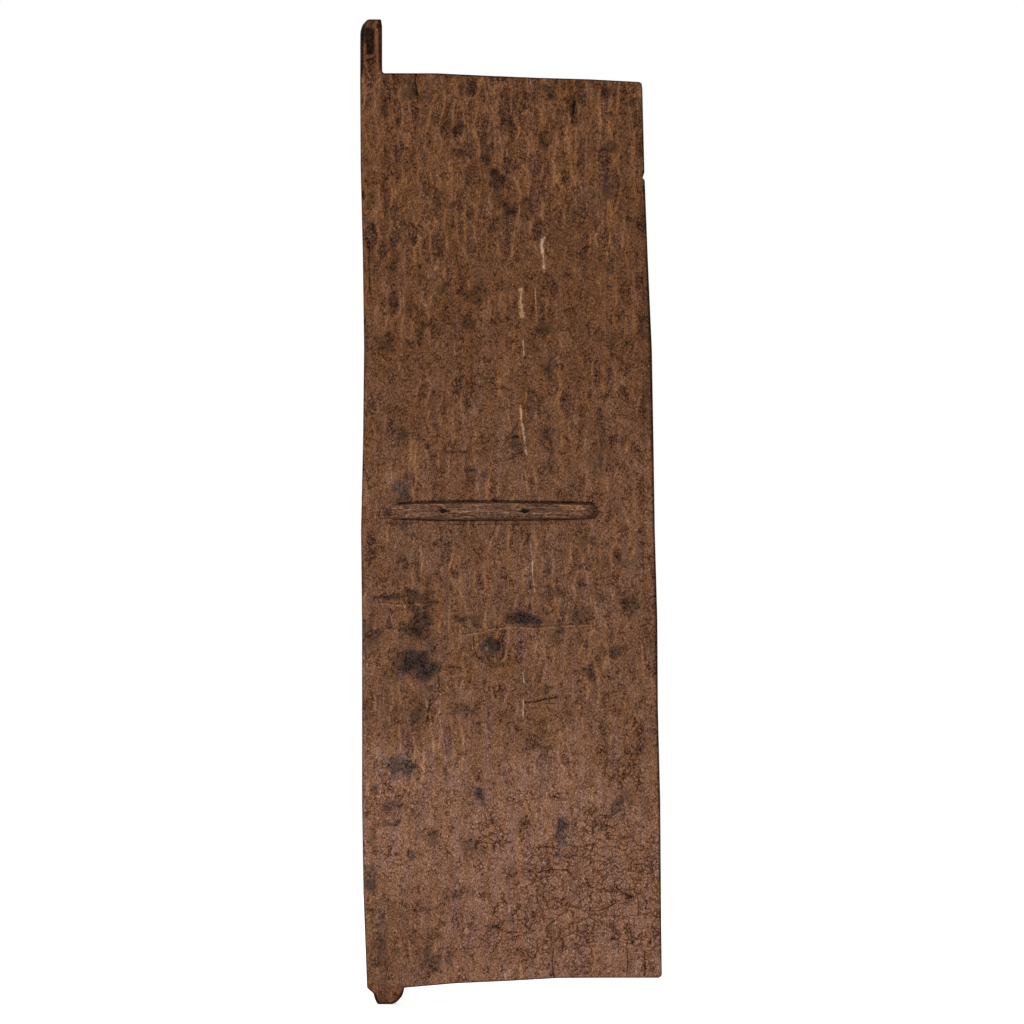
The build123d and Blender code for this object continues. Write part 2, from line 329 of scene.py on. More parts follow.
# Dark iron and soot stains, area by area: middle x and z, half width, half height, lean and strength.
dark_stains = {
    "foot": [
        (-31.3, 228.9, 11.4, 14.2, 0, 0.9), (-9.5, 156.8, 15.2, 13.3, 0, 0.7),
        (-15.2, 99.8, 11.4, 32.3, 0, 0.66), (80.8, 84.5, 17.1, 24.7, 0, 0.72),
        (114.9, 80.8, 7.6, 19, 0, 0.7), (17.1, 103.5, 11.4, 4.8, 10, 0.75),
        (133, 213.8, 41.8, 11.4, 5, 0.52), (306.8, 132, 6.6, 48, 0, 0.62),
        (230.8, 164.3, 15.2, 15.2, 0, 0.6), (205.2, 147.2, 15.2, 5.7, 15, 0.7),
        (426.4, 123.5, 3.4, 5.8, 0, 1.3), (466.1, 118.8, 6.2, 3.6, 40, 1.3), (498.6, 117, 3, 6, 0, 1.3),
        (457.3, 206.9, 5.4, 4.2, -15, 1.3),
    ],
    "low_face": [
        (6.6, 381.9, 14.2, 13.3, 0, 0.7), (171.9, 396.1, 10.4, 16.1, 0, 0.85),
        (46.5, 287, 22, 8, 0, 0.75), (176.7, 289.8, 15.2, 11.4, 0, 0.6),
        (-24.7, 410.4, 20.9, 5, 0, 0.85), (-1.9, 342, 28.5, 6, 5, 0.8), (-29.5, 312.5, 10.5, 25, 0, 0.6),
        (85.5, 312.5, 9.5, 25, 0, 0.68), (150, 300, 27, 25, 0, 0.55),
        (437.9, 377.1, 11.4, 15.2, 0, 0.85), (456, 388.5, 26.6, 17.1, 0, 0.58),
        (332.5, 342.9, 10.4, 15.2, 0, 0.75), (256.5, 342.9, 13.3, 13.3, 0, 0.65),
        (-32.3, 259.3, 11.4, 6.6, 0, 0.95), (24.7, 449.3, 40, 24, 0, 0.6),
    ],
    "housings": [
        (60.5, 772.7, 28.8, 13.5, 0, 0.99), (3, 774, 34, 5.5, 2, 1), (50.3, 750.5, 13, 6.5, -8, 0.95),
        (8.5, 749.5, 13.3, 6.5, 0, 0.55), (56.8, 718, 22.3, 22.9, 0, 0.99),
        (23.8, 705.9, 5.7, 28.5, 0, 0.72), (4.8, 722, 4.9, 9.5, 0, 0.75), (58.9, 649, 33, 25, 14, 0.99),
        (71, 624, 18, 19, -10, 0.99), (20.9, 662.1, 19, 9.5, 40, 0.6),
        (-32.3, 703.9, 17.1, 32.3, 0, 0.68), (136.8, 733.4, 17.1, 6.6, 0, 0.72),
        (167.2, 728.6, 13.3, 11.4, 0, 0.7), (241.3, 734.3, 30.4, 15.2, 3, 0.85),
        (269.8, 730.5, 24.7, 9.5, 0, 0.8), (355.3, 740, 30.4, 17.1, 0, 0.62),
        (194.8, 677.4, 15.2, 14.2, 30, 0.95), (321.1, 703.9, 13.3, 12.3, 25, 0.75),
        (212.8, 646.9, 26.6, 9.5, 10, 0.55), (323, 782.8, 8.5, 7.6, 0, 0.65),
        (434.1, 675.4, 14.2, 15.2, 0, 0.7), (381.9, 627.9, 11.4, 17.1, 0, 0.7),
        (304, 601.4, 9.5, 9.5, 0, 0.75), (53.2, 548.1, 17.1, 22.8, 0, 0.72),
        (133, 555.8, 24.7, 15.2, 10, 0.62), (28.5, 840.8, 15.2, 26.6, 0, 0.5),
        (444.6, 840.8, 13.3, 22.8, 0, 0.58), (461.7, 762.8, 15.2, 22.8, 0, 0.6),
    ],
    "batten": [
        (242.3, 1063, 16, 12, 0, 0.7), (26.6, 966.1, 11.4, 17.1, 0, 0.72),
        (24.7, 955.7, 11.4, 5.7, 0, 1), (25.6, 1085.8, 13.3, 11.4, 0, 0.7),
        (75, 1057.3, 9.5, 6.6, 0, 0.8), (101.6, 1046, 5.7, 6.6, 0, 0.8),
        (119.7, 1049.8, 10.4, 4.2, 0, 0.8), (143.4, 1047.8, 9.5, 3.4, 0, 0.8),
        (176.7, 1131.5, 3.8, 3.8, 0, 1), (170, 1008.9, 20.9, 17.1, 0, 0.6),
        (245.1, 1072.5, 17.1, 26.6, 0, 0.58), (305.9, 1078.2, 15.2, 22.8, 0, 0.62),
        (374.3, 873, 13.3, 26.6, 0, 0.6), (395.2, 1028.8, 15.2, 30.4, 0, 0.5),
    ],
    "middle": [
        (305.9, 1209.3, 13.3, 22.8, 0, 0.62), (298.3, 1291, 17.1, 17.1, 0, 0.7),
        (69.3, 1285.3, 15.2, 15.2, 0, 0.68), (124.4, 1288.2, 11.4, 7.6, 0, 0.8),
        (152, 1293.9, 12.3, 15.2, 0, 0.7), (-2.8, 1250.2, 13.3, 22.8, 0, 0.62),
        (104.5, 1361.3, 13.3, 11.4, 0, 0.75), (12.3, 1403.1, 13.3, 13.3, 0, 0.6),
        (40.9, 1327.1, 11.4, 15.2, 0, 0.62), (173.8, 1354.7, 19, 22.8, 0, 0.62),
        (422.8, 1395.5, 10.4, 15.2, 10, 0.72), (480.7, 1281.5, 11.4, 30.4, 0, 0.5),
    ],
    "head": [
        (131.1, 1665.3, 13.3, 17.1, 10, 0.8), (135.8, 1619.8, 9.5, 15.2, 0, 0.75),
        (123.5, 1522.8, 13.3, 7.6, 20, 0.8), (-9.5, 1699.5, 15.2, 24.7, 0, 0.66),
        (45.6, 1733.8, 24.7, 22.8, 0, 0.6), (155.8, 1741.3, 19, 15.2, 0, 0.66),
        (224.2, 1682.4, 15.2, 15.2, 0, 0.75), (212.8, 1560.8, 17.1, 34.2, 5, 0.7),
        (226.1, 1509.5, 15.2, 19, 0, 0.9), (264.1, 1519, 13.3, 30.4, 0, 0.66),
        (186.2, 1623.5, 13.3, 30.4, 0, 0.55), (294.5, 1634.9, 11.4, 24.7, 0, 0.66),
        (305.9, 1735.6, 17.1, 13.3, 0, 0.72), (412.3, 1733.8, 13.3, 17.1, 0, 0.66),
        (414.2, 1631.1, 22.8, 11.4, 0, 0.72), (418, 1549.4, 13.3, 22.8, 0, 0.66),
        (463.6, 1715.7, 7.6, 9.5, 0, 0.9), (351.5, 1697.6, 7.6, 26.6, 0, 0.8),
        (478.8, 1623.5, 9.5, 26.6, 0, 0.55), (95, 1528.5, 15.2, 22.8, 0, 0.6),
        (-30.4, 1528.5, 13.3, 17.1, 0, 0.5),
    ],
    "pivot": [
        (-31.9, 1864.7, 5, 7, 0, 0.95), (-18.2, 1860, 2.8, 11, 0, 0.9),
    ],
}

# Blue-grey stains, in the same order.
cool_stains = {
    "foot": [
        (-32.3, 236.5, 13.3, 22.8, 0, 0.7), (93.1, 80.8, 26.6, 26.6, 0, 0.45),
    ],
    "low_face": [
        (24.7, 449.3, 36.1, 20.7, 0, 0.98), (171, 396.1, 13.3, 20.9, 0, 0.8),
        (328.7, 322.1, 10.3, 49.4, 0, 0.72),
    ],
    "housings": [
        (58.9, 648.9, 34.2, 34.2, 12, 0.7), (55.1, 717.2, 20.9, 22.8, 0, 0.65),
        (193.8, 677.4, 17.1, 17.1, 30, 0.85), (269.8, 730.5, 26.6, 13.3, 0, 0.75),
    ],
    "batten": [
        (30.4, 909.1, 8.5, 13.3, 0, 1), (32.3, 983.2, 20.9, 24.7, 0, 0.6),
        (402.8, 1063, 30.4, 49.4, 0, 0.5),
    ],
}

# Pale checks, where clean wood shows: the route, half the width and the reach.
pale_checks = {
    "hooked": ([(302.1, 1459.2), (293.6, 1453.5), (291.6, 1439.2), (295.4, 1422.1),
                (296.4, 1391.8)], 3.0, 10.0),
    "broad": ([(253.6, 1361.3), (251.8, 1334.8), (255.5, 1304.3)], 4.4, 12.0),
    "faint": ([(279.3, 1361.3), (281.2, 1319.5)], 1.0, 6.0),
    "short": ([(256.5, 1262.5), (258.4, 1232.1)], 1.6, 6.0),
    "bright": ([(252.7, 1139.0), (253.6, 1110.5), (258.4, 1080.1), (263.1, 1044.0)], 2.3, 8.0),
    "lower": ([(270.8, 873.0), (274.6, 844.5), (274.6, 814.1), (279.3, 785.6)], 1.2, 6.0),
    "lowest": ([(256.5, 631.8), (258.4, 610.9)], 1.0, 6.0),
    "last": ([(257.4, 584.2), (256.5, 548.1)], 1.0, 6.0),
}

# Dark cracks and outlines of old cuts, in the same order.
dark_checks = {
    "top_crack": ([(53.2, 1769.8), (51.3, 1752.8), (55.1, 1735.6), (57.0, 1710.9)], 1.6, 7.0),
    "top_slit": ([(354.0, 1716.0), (352.4, 1700.0), (348.8, 1675.0)], 1.8, 8.0),
    "pivot_kerf": ([(-40.6, 1794.0), (-26.6, 1797.0)], 2.1, 7.0),
    "knob_left": ([(162.4, 700.1), (162.4, 679.2), (169.1, 662.1), (181.4, 651.7)], 1.0, 6.0),
    "knob_right": ([(221.3, 705.9), (215.6, 690.6), (219.4, 673.5)], 1.0, 6.0),
    "slant": ([(260.3, 573.8), (279.3, 574.8), (298.3, 580.4), (321.1, 583.3)], 2.0, 14.0),
    "under_heart": ([(79.8, 578.5), (77.9, 559.5), (74.1, 538.6)], 1.5, 7.0),
    "curl": ([(95.0, 624.1), (96.9, 607.0), (104.5, 595.6), (114.0, 589.0)], 1.1, 8.0),
    "leaf_top": ([(391.4, 348.6), (397.1, 356.2), (404.7, 360.1), (418.0, 359.1), (427.5, 360.1),
                  (437.0, 367.6)], 0.9, 5.5),
    "leaf_low": ([(393.3, 342.9), (406.6, 336.9), (416.1, 335.3), (427.5, 338.2),
                  (438.9, 342.9)], 0.9, 5.5),
    "across_upper": ([(281.2, 298.3), (307.8, 299.2), (326.8, 294.5)], 1.2, 14.0),
    "across_lower": ([(285.0, 250.8), (311.6, 256.5), (342.0, 255.5)], 1.0, 14.0),
    "arc": ([(368.6, 177.7), (402.8, 178.6), (425.6, 188.1), (440.8, 198.5)], 1.0, 14.0),
    "star_tail": ([(434.5, 222.7), (444.0, 213.5), (457.0, 207.0), (466.0, 204.0)], 1.8, 9.0),
    "low_check": ([(454.1, 103.5), (456.0, 80.8), (453.1, 56.0)], 1.1, 6.0),
    "low_check_right": ([(487.3, 97.8), (489.2, 77.0), (488.3, 56.0)], 1.1, 6.0),
    "low_check_left": ([(314.4, 107.3), (311.6, 80.8), (315.4, 52.2)], 1.0, 6.0),
    "knot_top": ([(220.0, 1063.0), (228.0, 1075.0), (242.0, 1081.0), (256.0, 1075.0),
                  (265.0, 1063.0)], 1.3, 6.0),
    "knot_low": ([(220.0, 1061.0), (228.0, 1050.0), (242.0, 1045.0), (256.0, 1050.0),
                  (265.0, 1061.0)], 1.3, 6.0),
    "edge_split": ([(-35.1, 1452.5), (-36.1, 1410.8), (-34.2, 1357.5)], 1.0, 5.0),
}

# Raised lower lips of two old housings, in the same order. Each lip is also drawn as a painted highlight,
# with painted shade in a band above it.
lips = {
    "upper_lip": ([(-15.2, 761.9), (13.3, 758.1), (34.2, 757.1), (51.3, 760.4), (68.4, 759.0),
                   (89.3, 761.9)], 1.5, 9.0),
    "main_lip": ([(144.4, 701.1), (182.4, 707.0), (191.9, 711.5), (235.6, 716.7), (279.3, 713.4),
                  (328.7, 717.2), (355.3, 719.1), (391.4, 720.1)], 1.5, 9.0),
}

# Light ridges between old cuts, in the same order.
light_ridges = {
    "pivot_left": ([(-43.7, 1851.5), (-45.0, 1828.8), (-44.6, 1798.3), (-48.4, 1764.1)], 1.5, 5.5),
    "pivot_right": ([(-22.8, 1868.6), (-21.7, 1832.5), (-20.9, 1802.1), (-19.0, 1775.5), (-13.3, 1756.5),
                     (-1.9, 1731.8), (2.8, 1703.3), (3.8, 1669.1)], 1.8, 6.5),
    "stile": ([(-43.7, 1748.9), (-45.0, 1709.0), (-45.6, 1669.1), (-39.9, 1638.8),
               (-32.3, 1617.8)], 2.2, 7.5),
    "fork": ([(-24.7, 1764.1), (-27.5, 1733.8), (-21.8, 1714.8), (-28.5, 1691.9)], 1.5, 6.0),
    "second": ([(19.0, 1748.9), (21.5, 1718.5), (21.8, 1680.5), (19.6, 1642.5), (20.3, 1604.5),
                (20.9, 1579.8)], 1.9, 7.0),
    "third": ([(46.5, 1688.1), (47.5, 1657.8), (51.3, 1629.2), (60.8, 1608.3), (70.3, 1585.5),
               (75.0, 1558.9), (76.0, 1536.1)], 1.6, 6.5),
    "fourth": ([(148.2, 1718.5), (152.0, 1680.5), (153.9, 1638.8)], 1.6, 6.5),
    "fifth": ([(174.8, 1691.9), (175.8, 1646.3), (172.9, 1595.0), (178.6, 1566.5),
               (171.9, 1526.6)], 1.9, 7.0),
    "sixth": ([(182.4, 1756.5), (186.2, 1728.0), (197.6, 1699.5), (203.3, 1661.5), (203.3, 1604.5),
               (202.3, 1555.1)], 2.6, 8.5),
    "seventh": ([(273.6, 1653.9), (275.5, 1608.3), (271.7, 1560.8)], 1.6, 6.5),
    "eighth": ([(408.5, 1729.9), (411.3, 1712.8), (408.5, 1695.8)], 1.4, 6.0),
    "ninth": ([(473.1, 1718.5), (475.0, 1688.1), (473.1, 1659.6)], 1.4, 6.0),
    "tenth": ([(28.5, 1361.3), (30.4, 1323.3), (26.6, 1279.6)], 1.5, 6.5),
    "eleventh": ([(5.7, 1028.8), (6.6, 1000.3), (5.7, 979.4)], 1.6, 6.0),
    "twelfth": ([(34.2, 1019.3), (51.3, 1006.0), (62.7, 994.6), (68.4, 981.3)], 1.5, 6.0),
    "leaning": ([(45.6, 515.9), (55.1, 487.3), (62.7, 460.8), (70.3, 432.2)], 1.6, 6.5),
    "leaning_right": ([(98.8, 540.5), (104.5, 506.3), (110.2, 462.6)], 1.5, 6.5),
}

# The batten's flush end casts no shadow. The lines above and below the rest of it: spacing of their
# points, distance from the batten, half width and reach.
flush_end = 14.0
shadow_step = 12.0
shadow_above = (0.9, 2.3)
shadow_below = (-0.5, 1.1)
shadow_reach = 8.0


def bar_shadows():
    """The dark lines above and below the batten, along its edges."""
    places, by_place = slices("cross_batten", 0, shadow_step)
    shown = places > places[0] + flush_end
    lines = {}
    for name, side, (away, width) in (("above", 1, shadow_above), ("below", 0, shadow_below)):
        edge = by_place[shown, side, 2] + away
        if name == "above":
            edge = edge - end_droop * smooth(end_droop_reach, 0, places[shown] - places[0])
        lines[name] = (list(zip(places[shown], edge)), width, shadow_reach)
    return lines


# Traces of two old housings: the lip below each, how far up it is cut in, and how deep it is at the lip.
old_housings = [("upper_lip", 26.0, 1.8), ("main_lip", 30.0, 2.3)]


def housing_depth(x, z):
    """How deep the old housings lie: sharp at the lower lip and fading upwards."""
    depth = np.zeros(x.shape)
    for name, height, deep in old_housings:
        route = np.array(lips[name][0])
        up = z - np.interp(x, route[:, 0], route[:, 1])
        inside = smooth(route[0, 0] - 12, route[0, 0] + 12, x)
        inside = inside * smooth(route[-1, 0] + 10, route[-1, 0] - 10, x)
        depth += deep * inside * smooth(-0.5, 2.5, up) * smooth(height, 0.15 * height, up)
    return depth


# The hollow worn into the upper pivot, in two blocks: middle and half size.
pivot_hollows = [((-34.8, 1841.0), (9.3, 15.5)), ((-33.5, 1817.5), (7.4, 12.5))]
hollow_depth = 2.2

# Painted shade darkens the pivots, most of all outside the upper one's two ridges, on its rounded sides.
pivot_ridges = (-45.5, -21.0)

# Where the finish is crackled all over, in the stains' order.
crackled = {
    "foot": [
        (425, 235, 130, 135, 0, 1), (285, 180, 125, 130, 0, 0.75), (250, 200, 80, 60, 0, 0.6),
    ],
    "low_face": [
        (480, 420, 50, 60, 0, 0.6),
    ],
    "housings": [
        (476, 518, 20, 20, 0, 0.9),
    ],
}


def leaf_face(x, z, front):
    """How deep each point of a broad face lies, and what marks it."""
    wave_x = 10 * (noise(x, z, 40.0, 21, 1.5) - 0.5) + 5 * (noise(x, z, 15.0, 22, 1.6) - 0.5)
    wave_z = 22 * (noise(x, z, 45.0, 23) - 0.5)
    deepest, ridge, turn, upright, tone, lower_end = carve(x + wave_x, z + wave_z)
    marks = {}
    wear = mixed_noise(x, z, 55.0, 3, 1.8)
    marks["ridge"] = np.clip(ridge, 0, 14)
    marks["sharp"] = smooth(0.03, 0.2, turn) * smooth(0.25, 0.6, wear) * smooth(0.35, 0.85, upright)
    inside = smooth(0.1, 1.4, deepest) * smooth(0.5, 6.0, ridge)
    marks["dirt"] = inside * (0.25 + 0.75 * smooth(0.15, 0.8, tone)) * (0.7 + 0.3 * lower_end)
    crescent = lower_end * (1 - upright) * np.exp(-((ridge / 5.0) ** 2)) * smooth(0.05, 0.2, turn)
    marks["crescent"] = crescent * smooth(0.3, 0.7, tone) * smooth(0.3, 0.6, mixed_noise(x, z, 30.0, 15))
    marks["soot"] = inside * smooth(0.66, 0.95, tone) * (0.3 + 0.7 * lower_end)
    marks["hewn"] = smooth(330, 800, z) * (0.45 + 0.55 * smooth(1250, 1550, z))
    marks["low"] = smooth(620, 330, z + 160 * (noise(x, z, 110.0, 12) - 0.5))
    marks["low"] = marks["low"] * (1 - 0.75 * smooth(170, 20, x) * smooth(280, 170, z))
    marks["high"] = smooth(850, 1350, z)
    # Painted shade on the upper pivot, strongest on its rounded sides, and on the lower nub at the foot.
    outside = smooth(-1, 3, np.maximum(pivot_ridges[0] - x, x - pivot_ridges[1]))
    foot = 1.3 * smooth(50, 15, z) * smooth(70, 40, x)
    marks["pivot_shade"] = smooth(1745, 1795, z) * (0.45 + 0.55 * outside) + foot
    stain, cool, crackle = (np.zeros(x.shape) for _ in range(3))
    relief = deepest + 0.8 * mixed_noise(x, z, 120.0, 8, 2.0)
    named = [{}, {}, {}, {}]
    if front:
        # The dark lines also carry the painted shadow lines along the batten's edges.
        named = [pale_checks, dark_checks | bar_shadows(), light_ridges, lips]
        for field, patches in ((stain, dark_stains), (cool, cool_stains), (crackle, crackled)):
            for middle_x, middle_z, half_x, half_z, lean, strength in sum(patches.values(), []):
                patch = blot(x, z, (middle_x, middle_z), (half_x, half_z), lean)
                np.maximum(field, strength * patch, out=field)
        for (middle_x, middle_z), (half_x, half_z) in pivot_hollows:
            away = (np.abs((x - middle_x) / half_x) ** 4 + np.abs((z - middle_z) / half_z) ** 4) ** 0.25
            hollow = smooth(1.2, 0.85, away)
            stain = np.maximum(stain, 1.07 * hollow)
            relief = relief + hollow_depth * hollow
        relief = relief + housing_depth(x, z)
    for name, lines in zip(("pale", "dark", "light", "lip"), named):
        marks[name + "_offset"], marks[name] = line_field(x, z, lines)
    marks["stain"], marks["cool"], marks["crackle"] = stain, cool, crackle
    return relief, marks


class LeafGrid:
    """Columns and rows over the leaf, its upper pivot and its lower nub, numbered from the lower left."""

    def __init__(self):
        body = row_levels()
        nub_rows = int(round((body_foot - nub_foot_inset) / nub_row_spacing))
        pivot_rows = int(round((outline.crown - body_head) / pivot_row_spacing))
        self.nub_top = nub_rows
        self.body_top = nub_rows + len(body) - 1
        self.rows = self.body_top + pivot_rows
        self.columns = column_count
        width = outline.right_at(1000.0) - outline.left_at(1000.0)
        neck_column = outline.neck_x - neck_corner - outline.left_at(body_head) - arris
        self.pivot_columns = int(round(neck_column * column_count / width))
        nub_column = outline.nub_side - outline.left_at(body_foot) - 2 * arris
        self.nub_columns = int(round(nub_column * column_count / width))
        share_nub = np.arange(nub_rows) / nub_rows
        nub = nub_foot_inset + (body_foot - nub_foot_inset) * share_nub
        pivot_top = outline.crown - pivot_top_inset
        pivot = body_head + (pivot_top - body_head) * np.arange(1, pivot_rows + 1) / pivot_rows
        self.level = np.concatenate([nub, body, pivot])
        self.x, self.z = self.sheet()
        self.inside = self.present()

    def inset_left(self, z):
        towards_pivot = smooth(pivot_blend_from, pivot_blend_to, z)
        towards_foot = smooth(body_foot, nub_foot_inset, z)
        pivot_part, nub_part = pivot_ridge_inset - arris, nub_side_inset - arris
        return arris + pivot_part * towards_pivot + nub_part * towards_foot

    def sheet(self):
        """The front sheet's places, a little inside the outline."""
        share = np.arange(self.columns + 1) / self.columns
        level = self.level[:, None]
        left = outline.left_at(level) + self.inset_left(level)
        right = outline.right_at(np.clip(level, outline.free_low, outline.free_high)) - arris
        x = left + share * (right - left)
        corner = outline.neck_x - neck_corner
        high = outline.high_at(np.maximum(x, corner + 3)) - arris
        low = outline.low_at(np.maximum(x, outline.nub_side + 1)) + arris
        body_share = (level - body_foot) / (body_head - body_foot)
        z = np.where((level >= body_foot) & (level <= body_head), low + body_share * (high - low), level)
        z = z + np.zeros(x.shape)
        for row in range(self.body_top + 1, self.rows + 1):
            rise = self.level[row]
            neck = outline.neck_z - rise
            swing = math.sqrt(max(neck_reach**2 - max(neck, 0.0)**2, 0.0)) if neck < neck_reach else 0.0
            arc = outline.neck_x - max(swing, neck_corner)
            ridge_line = outline.right_at(rise) - pivot_ridge_inset
            towards = float(smooth(outline.neck_z - 2, outline.neck_z + 26, rise))
            edge = arc + (ridge_line - arc) * towards
            start = outline.left_at(rise) + self.inset_left(rise)
            count = self.pivot_columns
            x[row, : count + 1] = start + (edge - start) * np.arange(count + 1) / count
            base = z[self.body_top, : count + 1]
            lift = (rise - body_head) / (self.level[self.rows] - body_head)
            z[row, : count + 1] = base + (self.level[self.rows] - base) * lift
        for row in range(self.nub_top):
            rise = self.level[row]
            start = outline.left_at(rise) + self.inset_left(rise)
            edge = outline.right_at(rise) - self.inset_left(rise)
            count = self.nub_columns
            x_start = x[self.nub_top, : count + 1]
            straight = start + (edge - start) * np.arange(count + 1) / count
            towards = smooth(body_foot, body_foot - 9, rise)
            x[row, : count + 1] = x_start + (straight - x_start) * towards
            base = z[self.nub_top, : count + 1]
            drop = (body_foot - rise) / (body_foot - self.level[0])
            z[row, : count + 1] = base + (self.level[0] - base) * drop
        return x, z

    def present(self):
        """Which points the leaf has."""
        inside = np.zeros(self.x.shape, bool)
        inside[self.nub_top : self.body_top + 1] = True
        inside[: self.nub_top, : self.nub_columns + 1] = True
        inside[self.body_top :, : self.pivot_columns + 1] = True
        return inside

    def has_cell(self, row, column):
        if row < self.nub_top:
            return column < self.nub_columns
        if row >= self.body_top:
            return column < self.pivot_columns
        return True

    def border(self):
        """The sheet's border, anticlockwise as seen from the front, from the foot's left corner."""
        corners = [(0, 0), (0, self.nub_columns), (self.nub_top, self.nub_columns),
                   (self.nub_top, self.columns), (self.body_top, self.columns),
                   (self.body_top, self.pivot_columns), (self.rows, self.pivot_columns),
                   (self.rows, 0), (0, 0)]
        walk = []
        for (row, column), (next_row, next_column) in zip(corners, corners[1:]):
            down, over = next_row - row, next_column - column
            steps = max(abs(down), abs(over))
            walk.extend((row + down * step // steps, column + over * step // steps)
                        for step in range(steps))
        return walk


def border_rim(grid):
    """For each border point: where the outline lies beyond it, and how round the edge is."""
    outer, rounding = [], []
    for row, column in grid.border():
        x, z = grid.x[row, column], grid.z[row, column]
        rise = grid.level[row]
        if row == 0 and column in (0, grid.nub_columns):
            side = outline.left_at(foot_probe) if column == 0 else outline.right_at(foot_probe)
            place, rnd = (side, foot_rise), nub_foot_round
        elif row == 0:
            ends = (outline.left_at(foot_probe), outline.right_at(foot_probe))
            span = np.interp(column, (0, grid.nub_columns), ends)
            place, rnd = (span, outline.low_at(span)), nub_foot_round
        elif row == grid.rows and column in (0, grid.pivot_columns):
            level = outline.crown - top_probe
            side = outline.left_at(level) if column == 0 else outline.right_at(level)
            place, rnd = (side, level), pivot_top_round
        elif row == grid.rows:
            level = outline.crown - top_probe
            ends = (outline.left_at(level), outline.right_at(level))
            span = np.interp(column, (0, grid.pivot_columns), ends)
            place, rnd = (span, outline.high_at(span)), pivot_top_round
        elif column == 0:
            place, rnd = (outline.left_at(z), z), side_round(z)
        elif row > grid.body_top:
            under = outline.neck_z - z
            up = outline.neck_z - under * neck_radius / neck_reach if under > 0 else z
            place, rnd = (outline.right_at(up), up), side_round(z)
        elif row < grid.nub_top:
            down = min(z, outline.bottom - 0.3) if z > outline.bottom else z
            down = down - 3.5 * smooth(body_foot - 12, body_foot, rise)
            place, rnd = (outline.right_at(down), down), side_round(z)
        elif row == grid.body_top and column == grid.columns:
            level = outline.high_at(x) - corner_cut
            place, rnd = (outline.right_at(level), level), arris
        elif row == grid.nub_top and column == grid.columns:
            level = outline.low_at(x) + corner_cut
            place, rnd = (outline.right_at(level), level), arris
        elif row == grid.body_top:
            corner = outline.neck_x - neck_corner
            shift = 0.71 * (neck_reach - neck_radius)
            over = x + shift * np.clip(1 - (x - corner) / edge_blend, 0, 1)
            place, rnd = (over, outline.high_at(over)), arris + 6 * smooth(corner + 12, corner, x)
        elif row == grid.nub_top:
            corner = grid.x[grid.nub_top, grid.nub_columns]
            over = x + (outline.nub_side + 1.5 - corner) * np.clip(1 - (x - corner) / edge_blend, 0, 1)
            place, rnd = (over, outline.low_at(over)), arris
        else:
            place, rnd = (outline.right_at(z), z), arris
        outer.append(place)
        rounding.append(float(rnd))
    return np.array(outer, float), np.array(rounding)


def side_round(z):
    """How far the edge's rounding reaches from each face, at the hanging stile and its pivots."""
    towards_pivot = smooth(pivot_blend_from + 25, pivot_blend_to, z)
    towards_foot = smooth(body_foot + 5, nub_foot_inset, z)
    return arris + (pivot_round - arris) * towards_pivot + 5.0 * towards_foot


def half_thickness(z):
    """Half the leaf's thickness, less at the worn foot."""
    share = np.clip(z / body_foot, 0, 1)
    swell = np.sqrt(np.clip(1 - (1 - share) ** 2, 0, 1))
    return nub_foot_half + (outline.half - nub_foot_half) * swell


